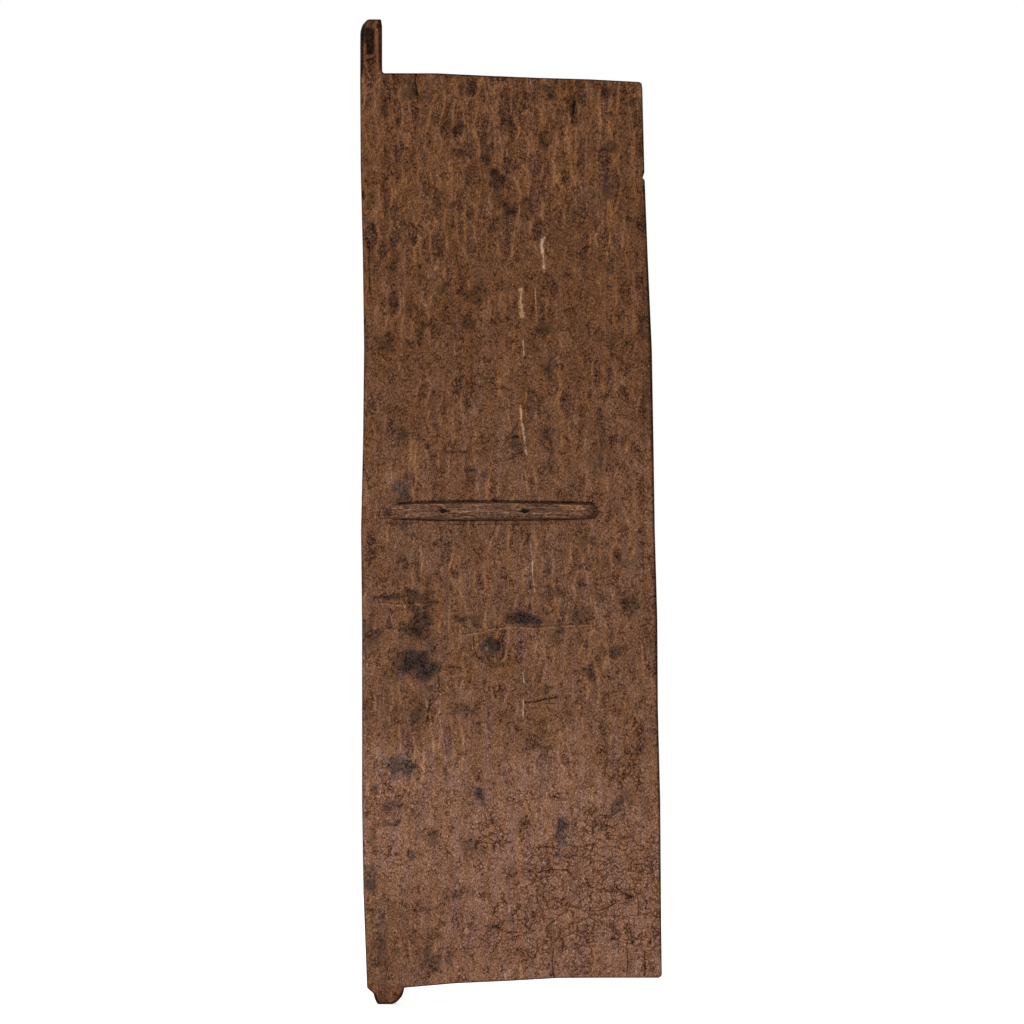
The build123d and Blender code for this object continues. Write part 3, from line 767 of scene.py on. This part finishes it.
def build_leaf():
    """One closed mesh: the front sheet, rings round the edge, and a coarser back."""
    grid = LeafGrid()
    middle = (outline.front + outline.back) / 2
    front_depth, front_marks = leaf_face(grid.x, grid.z, True)
    back_depth, back_marks = leaf_face(grid.x, grid.z, False)
    thick = half_thickness(grid.z)
    front_y = middle - thick + np.maximum(front_depth, 0)
    back_y = middle + thick - np.maximum(back_relief * back_depth, 0)
    walk = grid.border()
    rows, columns = np.array(walk).T
    outer, rounding = border_rim(grid)
    number = np.full(grid.x.shape, -1)
    number[grid.inside] = np.arange(grid.inside.sum())
    points = [np.stack([grid.x[grid.inside], front_y[grid.inside], grid.z[grid.inside]], 1)]
    marks = {name: [values[grid.inside]] for name, values in front_marks.items()}
    marks["edge_shade"] = [np.zeros(grid.inside.sum())]
    inner = np.stack([grid.x[rows, columns], grid.z[rows, columns]], 1)
    y_front, y_back = front_y[rows, columns], back_y[rows, columns]
    rings = [number[rows, columns]]
    count = grid.inside.sum()
    third = ring_count // 3
    # Where the painted shade on the rounded edge reaches further in and grows darker: at the upper pivot
    # and at the foot.
    edge_shade_spread = smooth(pivot_blend_from, pivot_blend_to, outer[:, 1]) + smooth(40, 20, outer[:, 1])
    for ring in range(1, ring_count + 1):
        if ring <= third:
            angle = math.pi / 2 * ring / third
            reach, y = math.sin(angle), y_front + rounding * (1 - math.cos(angle))
        elif ring <= 2 * third:
            share = (ring - third) / third
            reach, y = 1.0, y_front + rounding + (y_back - y_front - 2 * rounding) * share
        else:
            angle = math.pi / 2 * (ring_count - ring) / third
            reach, y = math.sin(angle), y_back - rounding * (1 - math.cos(angle))
        flat = inner + (outer - inner) * reach
        points.append(np.stack([flat[:, 0], y, flat[:, 1]], 1))
        side = ring / ring_count
        for name in front_marks:
            start, end = front_marks[name][rows, columns], back_marks[name][rows, columns]
            marks[name].append(start * (1 - side) + end * side)
        # Painted shade on the rounded edge, darkest where it has turned furthest from the front; a fifth
        # as dark beyond the front rounding.
        dark = reach ** (2 - 0.9 * edge_shade_spread) * (1 + 0.3 * edge_shade_spread)
        marks["edge_shade"].append(dark * (1.0 if ring <= third else 0.2))
        rings.append(np.arange(count, count + len(walk)))
        count += len(walk)
    faces = []
    for row in range(grid.rows):
        for column in range(grid.columns):
            if grid.has_cell(row, column):
                faces.append((number[row, column], number[row, column + 1],
                              number[row + 1, column + 1], number[row + 1, column]))
    for near, far in zip(rings, rings[1:]):
        near_next, far_next = np.roll(near, -1), np.roll(far, -1)
        faces.extend(zip(near, far, far_next, near_next))
    back_number = np.full(grid.x.shape, -1)
    back_number[rows, columns] = rings[-1]
    row_lines = sorted({0, grid.nub_top, grid.body_top, grid.rows}
                       | set(range(0, grid.rows, back_row_step)))
    column_lines = sorted({0, grid.pivot_columns, grid.nub_columns, grid.columns}
                          | set(range(0, grid.columns, back_column_step)))
    lattice = [(row, column) for row in row_lines for column in column_lines
               if grid.inside[row, column] and back_number[row, column] < 0]
    rows, columns = np.array(lattice).T
    back_number[rows, columns] = np.arange(count, count + len(lattice))
    points.append(np.stack([grid.x[rows, columns], back_y[rows, columns], grid.z[rows, columns]], 1))
    for name in front_marks:
        marks[name].append(back_marks[name][rows, columns])
    marks["edge_shade"].append(np.zeros(len(lattice)))
    for low, high in zip(row_lines, row_lines[1:]):
        for left, right in zip(column_lines, column_lines[1:]):
            if grid.has_cell(low, left):
                loop = [(low, column) for column in range(left, right)]
                loop += [(row, right) for row in range(low, high)]
                loop += [(high, column) for column in range(right, left, -1)]
                loop += [(row, left) for row in range(high, low, -1)]
                numbers = [back_number[place] for place in loop if back_number[place] >= 0]
                faces.append(tuple(reversed(numbers)))
    marks = {name: np.concatenate(values) for name, values in marks.items()}
    faces = [tuple(map(int, face)) for face in faces]
    return mesh_object("leaf_plank", np.concatenate(points), faces, marks)


# The batten's mesh and its worn look.
batten_step = 1.6
batten_crown_points = 36
batten_fullness = 2.6
batten_side_depth = 2.4
batten_seat_inset = 0.4
batten_cover = 1.0
nail_pit_half = (6.4, 4.4)
nail_split_half = (14.0, 1.9)
end_droop = 4.5
end_droop_reach = 70.0
nail_pit_depth = 3.4
end_smudge = ((4.0, 936.0), (8.0, 11.0))
warm_patch = ((352.0, 945.0), (26.0, 9.0))


def nail_places():
    """The middle of each nail, in x and z, read from the nails' CAD solids."""
    points, _ = solid_mesh("batten_nails")
    split = (points[:, 0].min() + points[:, 0].max()) / 2
    groups = [points[points[:, 0] < split], points[points[:, 0] >= split]]
    return [((group[:, 0].min() + group[:, 0].max()) / 2, (group[:, 2].min() + group[:, 2].max()) / 2)
            for group in groups]


def build_batten():
    """The worn bar: sections along x, each with a round crown, straight sides and a flat seat."""
    places, by_place = slices("cross_batten", 0, batten_step)
    low, high, crown = by_place[:, 0, 2], by_place[:, 1, 2], by_place[:, 0, 1]
    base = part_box("cross_batten")[1].y / MM
    across = np.linspace(0, math.pi, batten_crown_points)
    points, marks = [], {"edge_shade": [], "stain": [], "streak": [], "smudge": [], "warm": []}
    plain_seat = np.zeros(3)
    high = high - end_droop * smooth(end_droop_reach, 0, places - places[0])
    for x, z_low, z_high, y_crown in zip(places, low, high, crown):
        middle, half = (z_low + z_high) / 2, (z_high - z_low) / 2
        section_z = middle - half * np.sign(np.cos(across)) * np.abs(np.cos(across)) ** 0.8
        level = np.abs(section_z - middle) / half
        surface = outline.front + batten_side_depth
        bow = np.maximum(1 - level**batten_fullness, 0) ** (1 / batten_fullness)
        y = surface + (y_crown - surface) * bow
        along = np.full(section_z.shape, x)
        grain = mixed_noise(section_z, along, 2.6, 50, 22.0) - 0.5
        dents = mixed_noise(section_z, along, 14.0, 54, 2.6) - 0.5
        pit = np.zeros(section_z.shape)
        for nail_x, nail_z in nail_places():
            for (half_x, half_z), most in ((nail_pit_half, 1.0), (nail_split_half, 0.7)):
                off = np.hypot((x - nail_x) / half_x, (section_z - nail_z) / half_z)
                off = off + 0.7 * (noise(section_z, along, 4.0, 57) - 0.5)
                pit = np.maximum(pit, most * smooth(1.3, 0.6, off))
        y = y + bow * (0.5 * grain + 1.1 * dents + 0.6) + nail_pit_depth * pit
        y = np.minimum(y, base - batten_cover)
        front = np.stack([along, y, section_z], 1)
        seat_places = (z_high - batten_seat_inset, middle, z_low + batten_seat_inset)
        seat = np.array([(x, base, place) for place in seat_places])
        points.append(np.concatenate([front, seat]))
        # Painted shade along the batten's edges, stronger on its upper side and at its free end; the
        # hidden seat is fully shaded.
        free_end = smooth(34, 4, places[-1] - x)
        proud = smooth(8, 40, x - places[0])
        upper = 0.6 + 0.4 * (section_z > middle)
        edge_shade = np.clip(smooth(0.7, 0.98, level) * proud * upper + 0.75 * free_end, 0, 1)
        marks["edge_shade"].append(np.concatenate([edge_shade, plain_seat + 1]))
        marks["stain"].append(np.concatenate([pit, plain_seat]))
        streak = smooth(0.48, 0.66, mixed_noise(section_z, along, 2.6, 60, 40.0))
        streak = streak * smooth(12, -3, section_z - middle) * smooth(60, 130, x) * smooth(350, 270, x)
        marks["streak"].append(np.concatenate([streak, plain_seat]))
        for name, (centre, half_size) in (("smudge", end_smudge), ("warm", warm_patch)):
            marks[name].append(np.concatenate([blot(along, section_z, centre, half_size), plain_seat]))
    around = len(points[0])
    faces = []
    for station in range(len(points) - 1):
        start, after = station * around, (station + 1) * around
        for step in range(around):
            follow = (step + 1) % around
            faces.append((start + step, after + step, after + follow, start + follow))
    faces.append(tuple(range(around)))
    faces.append(tuple(reversed(range((len(points) - 1) * around, len(points) * around))))
    marks = {name: np.concatenate(values) for name, values in marks.items()}
    return mesh_object("worn_batten", np.concatenate(points), faces, marks)


# The nails: stations from the hammered head to the tip, as share of the length and of the half width.
nail_segments = 20
nail_profile = [(0.0, 0.35), (0.004, 0.75), (0.02, 0.98), (0.045, 1.0), (0.06, 0.86), (0.075, 0.6),
                (0.3, 0.5), (0.6, 0.4), (0.85, 0.28), (0.97, 0.14), (1.0, 0.06)]
nail_half_width = 3.4
nail_squareness = 5.0
nail_corner_limit = 1.18
nail_fit = 0.9


def build_nails():
    """Two forged nails in their pits, with uneven heads and square tapered shanks."""
    low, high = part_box("batten_nails")
    start, end = low.y / MM, high.y / MM
    random = np.random.default_rng(seed + 70)
    points, faces, marks = [], [], {"rust": []}
    for x, z in nail_places():
        first = len(points)
        turn = random.uniform(0, 0.8)
        for along, wide in nail_profile:
            for segment in range(nail_segments):
                angle = 2 * math.pi * segment / nail_segments
                corner = abs(math.cos(angle)) ** nail_squareness + abs(math.sin(angle)) ** nail_squareness
                radius = nail_half_width * wide / corner ** (1 / nail_squareness)
                limit = nail_half_width * wide * nail_corner_limit
                radius = min(radius, limit) * random.uniform(0.95, 1.0)
                reach = nail_fit * radius
                points.append((x + reach * math.cos(angle + turn), start + (end - start) * along,
                               z + reach * math.sin(angle + turn)))
                marks["rust"].append(random.random())
        for station in range(len(nail_profile) - 1):
            here, there = first + station * nail_segments, first + (station + 1) * nail_segments
            for segment in range(nail_segments):
                follow = (segment + 1) % nail_segments
                faces.append((here + segment, here + follow, there + follow, there + segment))
        last = first + (len(nail_profile) - 1) * nail_segments
        faces.append(tuple(reversed(range(first, first + nail_segments))))
        faces.append(tuple(range(last, last + nail_segments)))
    return mesh_object("forged_nails", points, faces, marks)


def colour(red, green, blue):
    """A colour given as it looks on the screen, from 0 to 255."""
    share = np.array([red, green, blue]) / 255
    linear = np.where(share <= 0.04045, share / 12.92, ((share + 0.055) / 1.055) ** 2.4)
    return (*map(float, linear), 1.0)


class Paint:
    """A material's nodes, written as short calls. Sizes of its patterns are in millimetres."""

    def __init__(self, name):
        self.material = bpy.data.materials.new(name)
        self.material.use_nodes = True
        self.nodes = self.material.node_tree.nodes
        self.shader = self.nodes["Principled BSDF"]
        self.place = self.node("ShaderNodeTexCoord").outputs["Object"]

    def node(self, kind, **settings):
        made = self.nodes.new(kind)
        for name, value in settings.items():
            setattr(made, name, value)
        return made

    def put(self, socket, value):
        if isinstance(value, bpy.types.NodeSocket):
            self.material.node_tree.links.new(value, socket)
        else:
            socket.default_value = value

    def math(self, operation, first, second=0.0):
        made = self.node("ShaderNodeMath", operation=operation)
        self.put(made.inputs[0], first)
        self.put(made.inputs[1], second)
        return made.outputs[0]

    def mark(self, name):
        return self.node("ShaderNodeAttribute", attribute_name=name).outputs["Fac"]

    def stretched(self, size, stretch=(1, 1, 1), place=None, offset=0.0):
        made = self.node("ShaderNodeMapping")
        self.put(made.inputs["Vector"], place or self.place)
        made.inputs["Location"].default_value = [offset] * 3
        made.inputs["Scale"].default_value = [1 / (MM * size * share) for share in stretch]
        return made.outputs[0]

    def sum(self, start, *parts):
        """start plus each part, a plain number or a value with its factor."""
        total = start
        for part in parts:
            if isinstance(part, tuple):
                made = self.node("ShaderNodeMath", operation="MULTIPLY_ADD")
                for socket, value in zip(made.inputs, (*part, total)):
                    self.put(socket, value)
                total = made.outputs[0]
            else:
                total = self.math("ADD", total, part)
        return total

    def noise(self, size, stretch=(1, 1, 1), detail=2.0, roughness=0.5, offset=0.0, scale=1.0):
        """Values about 0.5 that change over that size. An offset, in shares of the size, gives others."""
        made = self.node("ShaderNodeTexNoise")
        self.put(made.inputs["Vector"], self.stretched(size, stretch, offset=offset))
        made.inputs["Scale"].default_value = 1.0
        made.inputs["Detail"].default_value = detail
        made.inputs["Roughness"].default_value = roughness
        return made.outputs[0] if scale == 1.0 else self.math("MULTIPLY", made.outputs[0], scale)

    def centred(self, *settings, **more):
        """Noise about 0."""
        return self.sum(self.noise(*settings, **more), -0.5)

    def contours(self, size, stretch, detail, roughness, offset, count):
        """0 along the contour lines of a noise and up to 0.5 between them."""
        return self.math("PINGPONG", self.noise(size, stretch, detail, roughness, offset, count), 0.5)

    def warped(self, size, amount):
        """Places shifted about by that many millimetres."""
        made = self.node("ShaderNodeTexNoise")
        self.put(made.inputs["Vector"], self.stretched(size))
        made.inputs["Scale"].default_value = 1.0
        centred = self.node("ShaderNodeVectorMath", operation="MULTIPLY_ADD")
        self.put(centred.inputs[0], made.outputs["Color"])
        centred.inputs[1].default_value = [2 * amount * MM] * 3
        centred.inputs[2].default_value = [-amount * MM] * 3
        moved = self.node("ShaderNodeVectorMath", operation="ADD")
        self.put(moved.inputs[0], self.place)
        self.put(moved.inputs[1], centred.outputs[0])
        return moved.outputs[0]

    def cell_edges(self, size, stretch, place):
        """Distance from the nearest edge of a net of cells, in shares of their size."""
        made = self.node("ShaderNodeTexVoronoi", feature="DISTANCE_TO_EDGE")
        self.put(made.inputs["Vector"], self.stretched(size, stretch, place))
        made.inputs["Scale"].default_value = 1.0
        return made.outputs["Distance"]

    def step(self, value, low, high):
        """0 at low, 1 at high and smooth between them."""
        made = self.node("ShaderNodeMapRange", interpolation_type="SMOOTHSTEP")
        for name, setting in (("Value", value), ("From Min", low), ("From Max", high)):
            self.put(made.inputs[name], setting)
        return made.outputs[0]

    def line(self, name, wide, narrow, waver):
        """A family of named lines, 1 on each, its edge moved about by a value with its factor."""
        away = self.sum(self.math("ABSOLUTE", self.mark(name + "_offset")), waver)
        return self.math("MULTIPLY", self.step(away, wide, narrow), self.step(self.mark(name), 0.25, 0.6))

    def mix(self, share, first, second, blend="MIX"):
        """The Mix node's colour sockets are its inputs 6 and 7 and its output 2."""
        made = self.node("ShaderNodeMix", data_type="RGBA", blend_type=blend)
        for number, value in ((0, share), (6, first), (7, second)):
            self.put(made.inputs[number], value)
        return made.outputs[2]

    def tinted(self, shade, *tints):
        """A colour multiplied by each tint in its share."""
        for share, *tint in tints:
            shade = self.mix(share, shade, (*tint, 1), "MULTIPLY")
        return shade

    def surface(self, shade, roughness, gloss):
        """The colour, roughness and gloss of the surface."""
        self.put(self.shader.inputs["Base Color"], shade)
        self.put(self.shader.inputs["Roughness"], roughness)
        self.shader.inputs["Specular IOR Level"].default_value = gloss

    def bump(self, height, distance, strength=1.0):
        made = self.node("ShaderNodeBump")
        self.put(made.inputs["Height"], height)
        made.inputs["Distance"].default_value = distance * MM
        made.inputs["Strength"].default_value = strength
        self.put(self.shader.inputs["Normal"], made.outputs[0])


def wood_ramp(paint, tone):
    """Old brown wood from its darkest dirt, at 0, to bare pale wood, at 1."""
    made = paint.node("ShaderNodeValToRGB")
    ramp = made.color_ramp
    steps = [(0.0, colour(17, 10, 7)), (0.15, colour(43, 25, 14)), (0.3, colour(71, 44, 28)),
             (0.45, colour(98, 66, 46)), (0.6, colour(122, 86, 64)), (0.75, colour(147, 110, 88)),
             (1.0, colour(196, 168, 146))]
    while len(ramp.elements) < len(steps):
        ramp.elements.new(0.5)
    for element, (position, shade) in zip(ramp.elements, steps):
        element.position = position
        element.color = shade
    paint.put(made.inputs[0], tone)
    return made.outputs[0]


def leaf_material():
    """Old hewn wood: warm ridges, dirt in the hollows, soot, blue-grey stains and fine crackle, with
    painted shade on the rounded edges, the pivots and round the batten, and a painted highlight along the
    old housings' lips.
    """
    paint = Paint("hewn_wood")
    fine = paint.centred(7.0, (1, 1, 1.4), 4.0, 0.8)
    grit = paint.centred(2.8, (1, 1, 1.2), 2.0, 0.9)
    patches = paint.centred(46.0, (1, 1, 1.8), 3.0)
    blotches = paint.centred(17.0, (1, 1, 1.6), 2.0, offset=80.0)
    rough = paint.sum(fine, (grit, 0.7))
    streaks = paint.centred(17.0, (1, 1, 9), 3.0, 0.6, 330.0)
    low, hewn, pivot_shade = paint.mark("low"), paint.mark("hewn"), paint.mark("pivot_shade")

    stained = paint.mark("stain")
    stain = paint.step(paint.sum(stained, (rough, 1.6)), 0.47, 0.54)
    deep = paint.step(paint.sum(stained, (rough, 0.5)), 1.0, 1.12)
    soot = paint.step(paint.sum(paint.mark("soot"), (rough, 1.8), (blotches, 1.0)), 0.52, 0.62)
    stain = paint.math("MAXIMUM", stain, paint.math("MULTIPLY", soot, 0.6))
    sooty = paint.step(paint.sum(-0.21, fine, (grit, 1.5), (blotches, 0.6), (stained, 0.25)), -0.04, 0.04)
    sooty = paint.math("MULTIPLY", stain, sooty)
    clear = paint.sum(1.0, (stain, -0.85))

    line = paint.step(paint.sum(paint.mark("ridge"), (rough, 9.0)), 3.2, 1.4)
    shown = paint.step(paint.sum(paint.mark("sharp"), (blotches, 1.8), (hewn, 0.25)), 0.5, 0.75)
    ridge = paint.math("MULTIPLY", line, shown)
    veins = paint.contours(24.0, (1, 1, 3.4), 2.0, 0.5, 30.0, 5.0)
    veins = paint.step(paint.sum(veins, (rough, 0.3)), 0.14, 0.06)
    veined = paint.step(paint.sum(hewn, (patches, 2.6), (blotches, 1.6)), 0.85, 1.1)
    ridge = paint.math("MAXIMUM", ridge, paint.math("MULTIPLY", veins, veined))
    named = paint.line("light", 1.3, 0.7, (rough, 3.0))
    # The lips' light lines are a painted highlight, and shade is painted in a band above each lip.
    lip = paint.line("lip", 1.2, 0.6, (rough, 3.0))
    ridge = paint.math("MULTIPLY", paint.math("MAXIMUM", ridge, paint.math("MAXIMUM", named, lip)), clear)
    shade = paint.math("ABSOLUTE", paint.sum(paint.mark("lip_offset"), (rough, 5.0), -2.4))
    shade = paint.math("MULTIPLY", paint.step(shade, 1.4, 0.5), paint.step(paint.mark("lip"), 0.1, 0.4))

    dirt = paint.step(paint.sum(paint.mark("dirt"), (rough, 1.5), (blotches, 1.3)), 0.4, 0.48)
    curls = paint.contours(13.0, (1, 1, 1.1), 2.5, 0.6, 210.0, 4.0)
    curled = paint.noise(21.0, (1, 1, 1.4), 3.0, 0.6, 240.0)
    curled = paint.sum(curled, (dirt, 0.04), (stain, 0.08), (pivot_shade, -0.07))
    curls = paint.math("MULTIPLY", paint.step(curls, 0.16, 0.07), paint.step(curled, 0.515, 0.555))
    worms = paint.contours(8.0, (1, 1, 1.1), 2.0, 0.5, 270.0, 6.0)
    wormy = paint.sum(paint.noise(30.0, (1, 1, 1.4), 2.0, 0.5, 240.0), (low, 0.03), (pivot_shade, -0.1))
    worms = paint.math("MULTIPLY", paint.step(worms, 0.2, 0.08), paint.step(wormy, 0.52, 0.6))
    specks = paint.step(paint.noise(4.6, (1, 1, 1.3), 3.0, 0.7), 0.6, 0.65)
    bright = paint.step(paint.noise(3.4, (1, 1, 1.3), 2.0, 0.7, 40.0), 0.6, 0.66)
    bright = paint.math("MULTIPLY", bright, paint.sum(0.4, (low, 0.6)))

    net = paint.cell_edges(21.0, (1.7, 1, 0.85), paint.warped(15.0, 9.0))
    tight = paint.cell_edges(11.0, (1.15, 1, 1), paint.warped(8.0, 4.5))
    crackled = paint.step(paint.sum(paint.mark("crackle"), (patches, 1.1), (blotches, 1.0)), 0.38, 0.5)
    tightly = paint.step(paint.sum(patches, (blotches, 1.2), (crackled, 0.08)), 0.1, 0.15)
    spread = paint.step(paint.sum(low, (patches, 1.4), (blotches, 1.4)), 1.04, 1.14)
    spread = paint.math("MAXIMUM", crackled, spread)
    lines = paint.math("MULTIPLY", paint.step(net, 0.045, 0.015), spread)
    tight = paint.math("MULTIPLY", paint.step(tight, 0.09, 0.03), paint.math("MULTIPLY", tightly, spread))
    lines = paint.math("MAXIMUM", lines, tight)

    # Dark cracks and outlines of cuts, with the painted shadow lines along the batten's edges.
    dark_lines_and_bar_shadows = paint.line("dark", 1.2, 0.75, (rough, 0.6))
    cool = paint.step(paint.sum(paint.mark("cool"), (rough, 1.2)), 0.44, 0.6)
    pale = paint.line("pale", 1.2, 0.5, (rough, 6.0))
    # Painted shade along the leaf's rounded edges.
    edge_shade = paint.step(paint.sum(paint.mark("edge_shade"), (fine, 0.9)), 0.05, 0.75)
    # Among these terms, the darkening of the rounded edges, of the pivots and above the old housings'
    # lips, and the lines along the batten, are painted shade; the lips' light lines are a painted
    # highlight.
    tone = paint.sum(0.528, (patches, 0.18), (blotches, 0.16), (streaks, 0.16),
                     (fine, paint.sum(0.5, (dirt, 0.25), (low, -0.2))),
                     (grit, paint.sum(1.2, (dirt, 0.5), (crackled, -0.1))),
                     (ridge, 0.13), (dirt, -0.08), (curls, -0.2), (worms, -0.12), (specks, -0.13),
                     (bright, 0.14), (low, 0.13), (paint.mark("high"), -0.058),
                     (paint.mark("crescent"), -0.16), (lines, -0.26), (stain, -0.07), (sooty, -0.1),
                     (deep, -0.2), (pivot_shade, -0.1), (shade, -0.12), (dark_lines_and_bar_shadows, -0.27), (cool, -0.08),
                     (edge_shade, -0.34), (pale, 0.42))
    warm = paint.step(paint.noise(20.0, (1, 1, 5), 2.0, 0.5, 300.0), 0.42, 0.58)
    warmth = paint.mix(warm, (0.98, 0.985, 1.06, 1), (1.05, 1.0, 0.9, 1))
    wood = paint.mix(1.0, wood_ramp(paint, tone), warmth, "MULTIPLY")
    wood = paint.tinted(wood, (low, 1.03, 1.0, 1.05), (paint.mark("high"), 0.98, 0.93, 0.82),
                        (pivot_shade, 1.04, 0.94, 0.9), (dirt, 0.97, 0.98, 1.13), (ridge, 1.06, 1.0, 0.86),
                        (stain, 0.84, 1.0, 1.16), (cool, 0.78, 1.0, 1.35))
    paint.surface(wood, paint.sum(0.72, (fine, 0.4)), 0.05)
    height = paint.sum(0.0, (fine, 0.6), (grit, 0.4), (lines, -0.35), (curls, -0.4), (worms, -0.25),
                       (specks, -0.3), (dark_lines_and_bar_shadows, -0.8), (pale, -0.3), (ridge, 0.3), (dirt, -0.15),
                       (deep, -0.5))
    paint.bump(height, 1.6)
    return paint.material


def batten_material():
    """Worn wood with its grain along the bar, and painted shade along its edges."""
    paint = Paint("batten_wood")
    grain = paint.noise(2.6, (24, 1, 1), 3.0, 0.7)
    grit = paint.centred(2.6, (1.8, 1, 1), 2.0, 0.9, 60.0)
    patches = paint.noise(30.0, (1.6, 1, 1), 2.0, 0.5)
    fine = paint.noise(4.4, (2.0, 1, 1), 4.0, 0.9)
    streak = paint.step(paint.sum(paint.mark("streak"), (grain, 0.9), (fine, 0.5)), 0.95, 1.45)
    # Painted shade along the batten's edges, most of all on its upper side.
    edge_shade = paint.step(paint.sum(paint.mark("edge_shade"), (fine, 0.9)), 0.7, 1.4)
    stain = paint.step(paint.sum(paint.mark("stain"), (fine, 0.8)), 0.55, 0.95)
    smudge = paint.step(paint.sum(paint.mark("smudge"), (fine, 0.8)), 0.8, 1.1)
    warm = paint.step(paint.sum(paint.mark("warm"), (fine, 0.8)), 0.75, 1.1)
    tone = paint.sum(0.425, (paint.sum(patches, -0.5), 0.3), (paint.sum(grain, -0.5), 1.3), (grit, 1.1),
                     (paint.sum(fine, -0.5), 1.3), (streak, 0.2), (edge_shade, -0.3), (stain, -0.5),
                     (smudge, -0.15), (warm, 0.06))
    wood = paint.tinted(wood_ramp(paint, tone), (streak, 0.96, 1.0, 1.12), (warm, 1.12, 1.0, 0.84))
    paint.surface(wood, paint.sum(0.55, (grain, 0.25)), 0.15)
    paint.bump(paint.sum(grain, (fine, 0.5)), 0.9)
    return paint.material


def nail_material():
    """Dark forged iron with brown rust."""
    paint = Paint("forged_iron")
    fine = paint.noise(1.6, (1, 1, 1), 4.0)
    iron = paint.mix(paint.step(paint.math("ADD", paint.mark("rust"), fine), 0.6, 1.2),
                     colour(9, 7, 6), colour(24, 15, 11))
    paint.surface(iron, paint.math("ADD", paint.math("MULTIPLY", fine, 0.3), 0.55), 0.1)
    paint.bump(fine, 0.4, 0.8)
    return paint.material


def paint_piece(piece, material, node):
    piece.data.materials.append(material)
    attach(piece, "root")
    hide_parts(node)


def white_rays(tree):
    """1 for the rays that show the background: straight from the camera, mirrored or through glass."""
    path = tree.nodes.new("ShaderNodeLightPath")
    total = path.outputs["Is Camera Ray"]
    for name in ("Is Glossy Ray", "Is Transmission Ray"):
        made = tree.nodes.new("ShaderNodeMath")
        made.operation = "MAXIMUM"
        tree.links.new(total, made.inputs[0])
        tree.links.new(path.outputs[name], made.inputs[1])
        total = made.outputs[0]
    return total


# The studio: a pale floor under the foot, even light all round and two broad soft lamps.
floor_half = 4.0
floor_white = 0.82
floor_lift = 0.5
floor_roughness = 0.9
floor_gloss = 0.1
world_light = 0.5
key_strength = 1.5
fill_strength = 0.45
back_strength = 1.3
lamp_softness = math.radians(35)


def make_floor():
    points = [(x * floor_half, y * floor_half, 0) for x, y in ((-1, -1), (1, -1), (1, 1), (-1, 1))]
    mesh = bpy.data.meshes.new("floor")
    mesh.from_pydata(points, [], [(0, 1, 2, 3)])
    floor = bpy.data.objects.new("floor", mesh)
    bpy.context.scene.collection.objects.link(floor)
    material = bpy.data.materials.new("pale_floor")
    material.use_nodes = True
    tree = material.node_tree
    surface = tree.nodes["Principled BSDF"]
    surface.inputs["Base Color"].default_value = (floor_white, floor_white, floor_white, 1)
    surface.inputs["Roughness"].default_value = floor_roughness
    surface.inputs["Specular IOR Level"].default_value = floor_gloss
    surface.inputs["Emission Color"].default_value = (1, 1, 1, 1)
    lift = tree.nodes.new("ShaderNodeMath")
    lift.operation = "MULTIPLY"
    lift.inputs[1].default_value = floor_lift
    tree.links.new(white_rays(tree), lift.inputs[0])
    tree.links.new(lift.outputs[0], surface.inputs["Emission Strength"])
    mesh.materials.append(material)


def make_world():
    world = bpy.data.worlds.new("studio")
    world.use_nodes = True
    tree = world.node_tree
    background = tree.nodes["Background"]
    background.inputs["Color"].default_value = (1, 1, 1, 1)
    level = tree.nodes.new("ShaderNodeMapRange")
    tree.links.new(white_rays(tree), level.inputs["Value"])
    level.inputs["To Min"].default_value = world_light
    level.inputs["To Max"].default_value = 1.0
    tree.links.new(level.outputs[0], background.inputs["Strength"])
    bpy.context.scene.world = world


def lamp(name, strength, direction):
    """A broad soft light that shines along the direction."""
    light = bpy.data.lights.new(name, "SUN")
    light.energy = strength
    light.angle = lamp_softness
    made = bpy.data.objects.new(name, light)
    made.rotation_euler = Vector(direction).to_track_quat("-Z", "Y").to_euler()
    bpy.context.scene.collection.objects.link(made)


def make_camera():
    camera = bpy.data.cameras.new("camera")
    camera.sensor_width = sensor_width
    camera.lens = sensor_width * camera_distance / view_height
    camera.clip_end = camera_reach * MM
    made = bpy.data.objects.new("camera", camera)
    made.location = Vector((view_middle_x, outline.front - camera_distance, view_middle_z)) * MM
    made.rotation_euler = (math.radians(90), 0, 0)
    bpy.context.scene.collection.objects.link(made)
    bpy.context.scene.camera = made


make_camera()
leaf_piece = build_leaf()
paint_piece(leaf_piece, leaf_material(), "leaf")
batten_piece = build_batten()
paint_piece(batten_piece, batten_material(), "cross_batten")
nails_piece = build_nails()
paint_piece(nails_piece, nail_material(), "batten_nails")

make_floor()
make_world()
lamp("key", key_strength, (0.7, 1.0, -0.9))
lamp("fill", fill_strength, (-0.9, 1.0, -0.1))
lamp("back", back_strength, (0.3, -1.0, -0.5))
bpy.context.scene.view_settings.view_transform = "Standard"
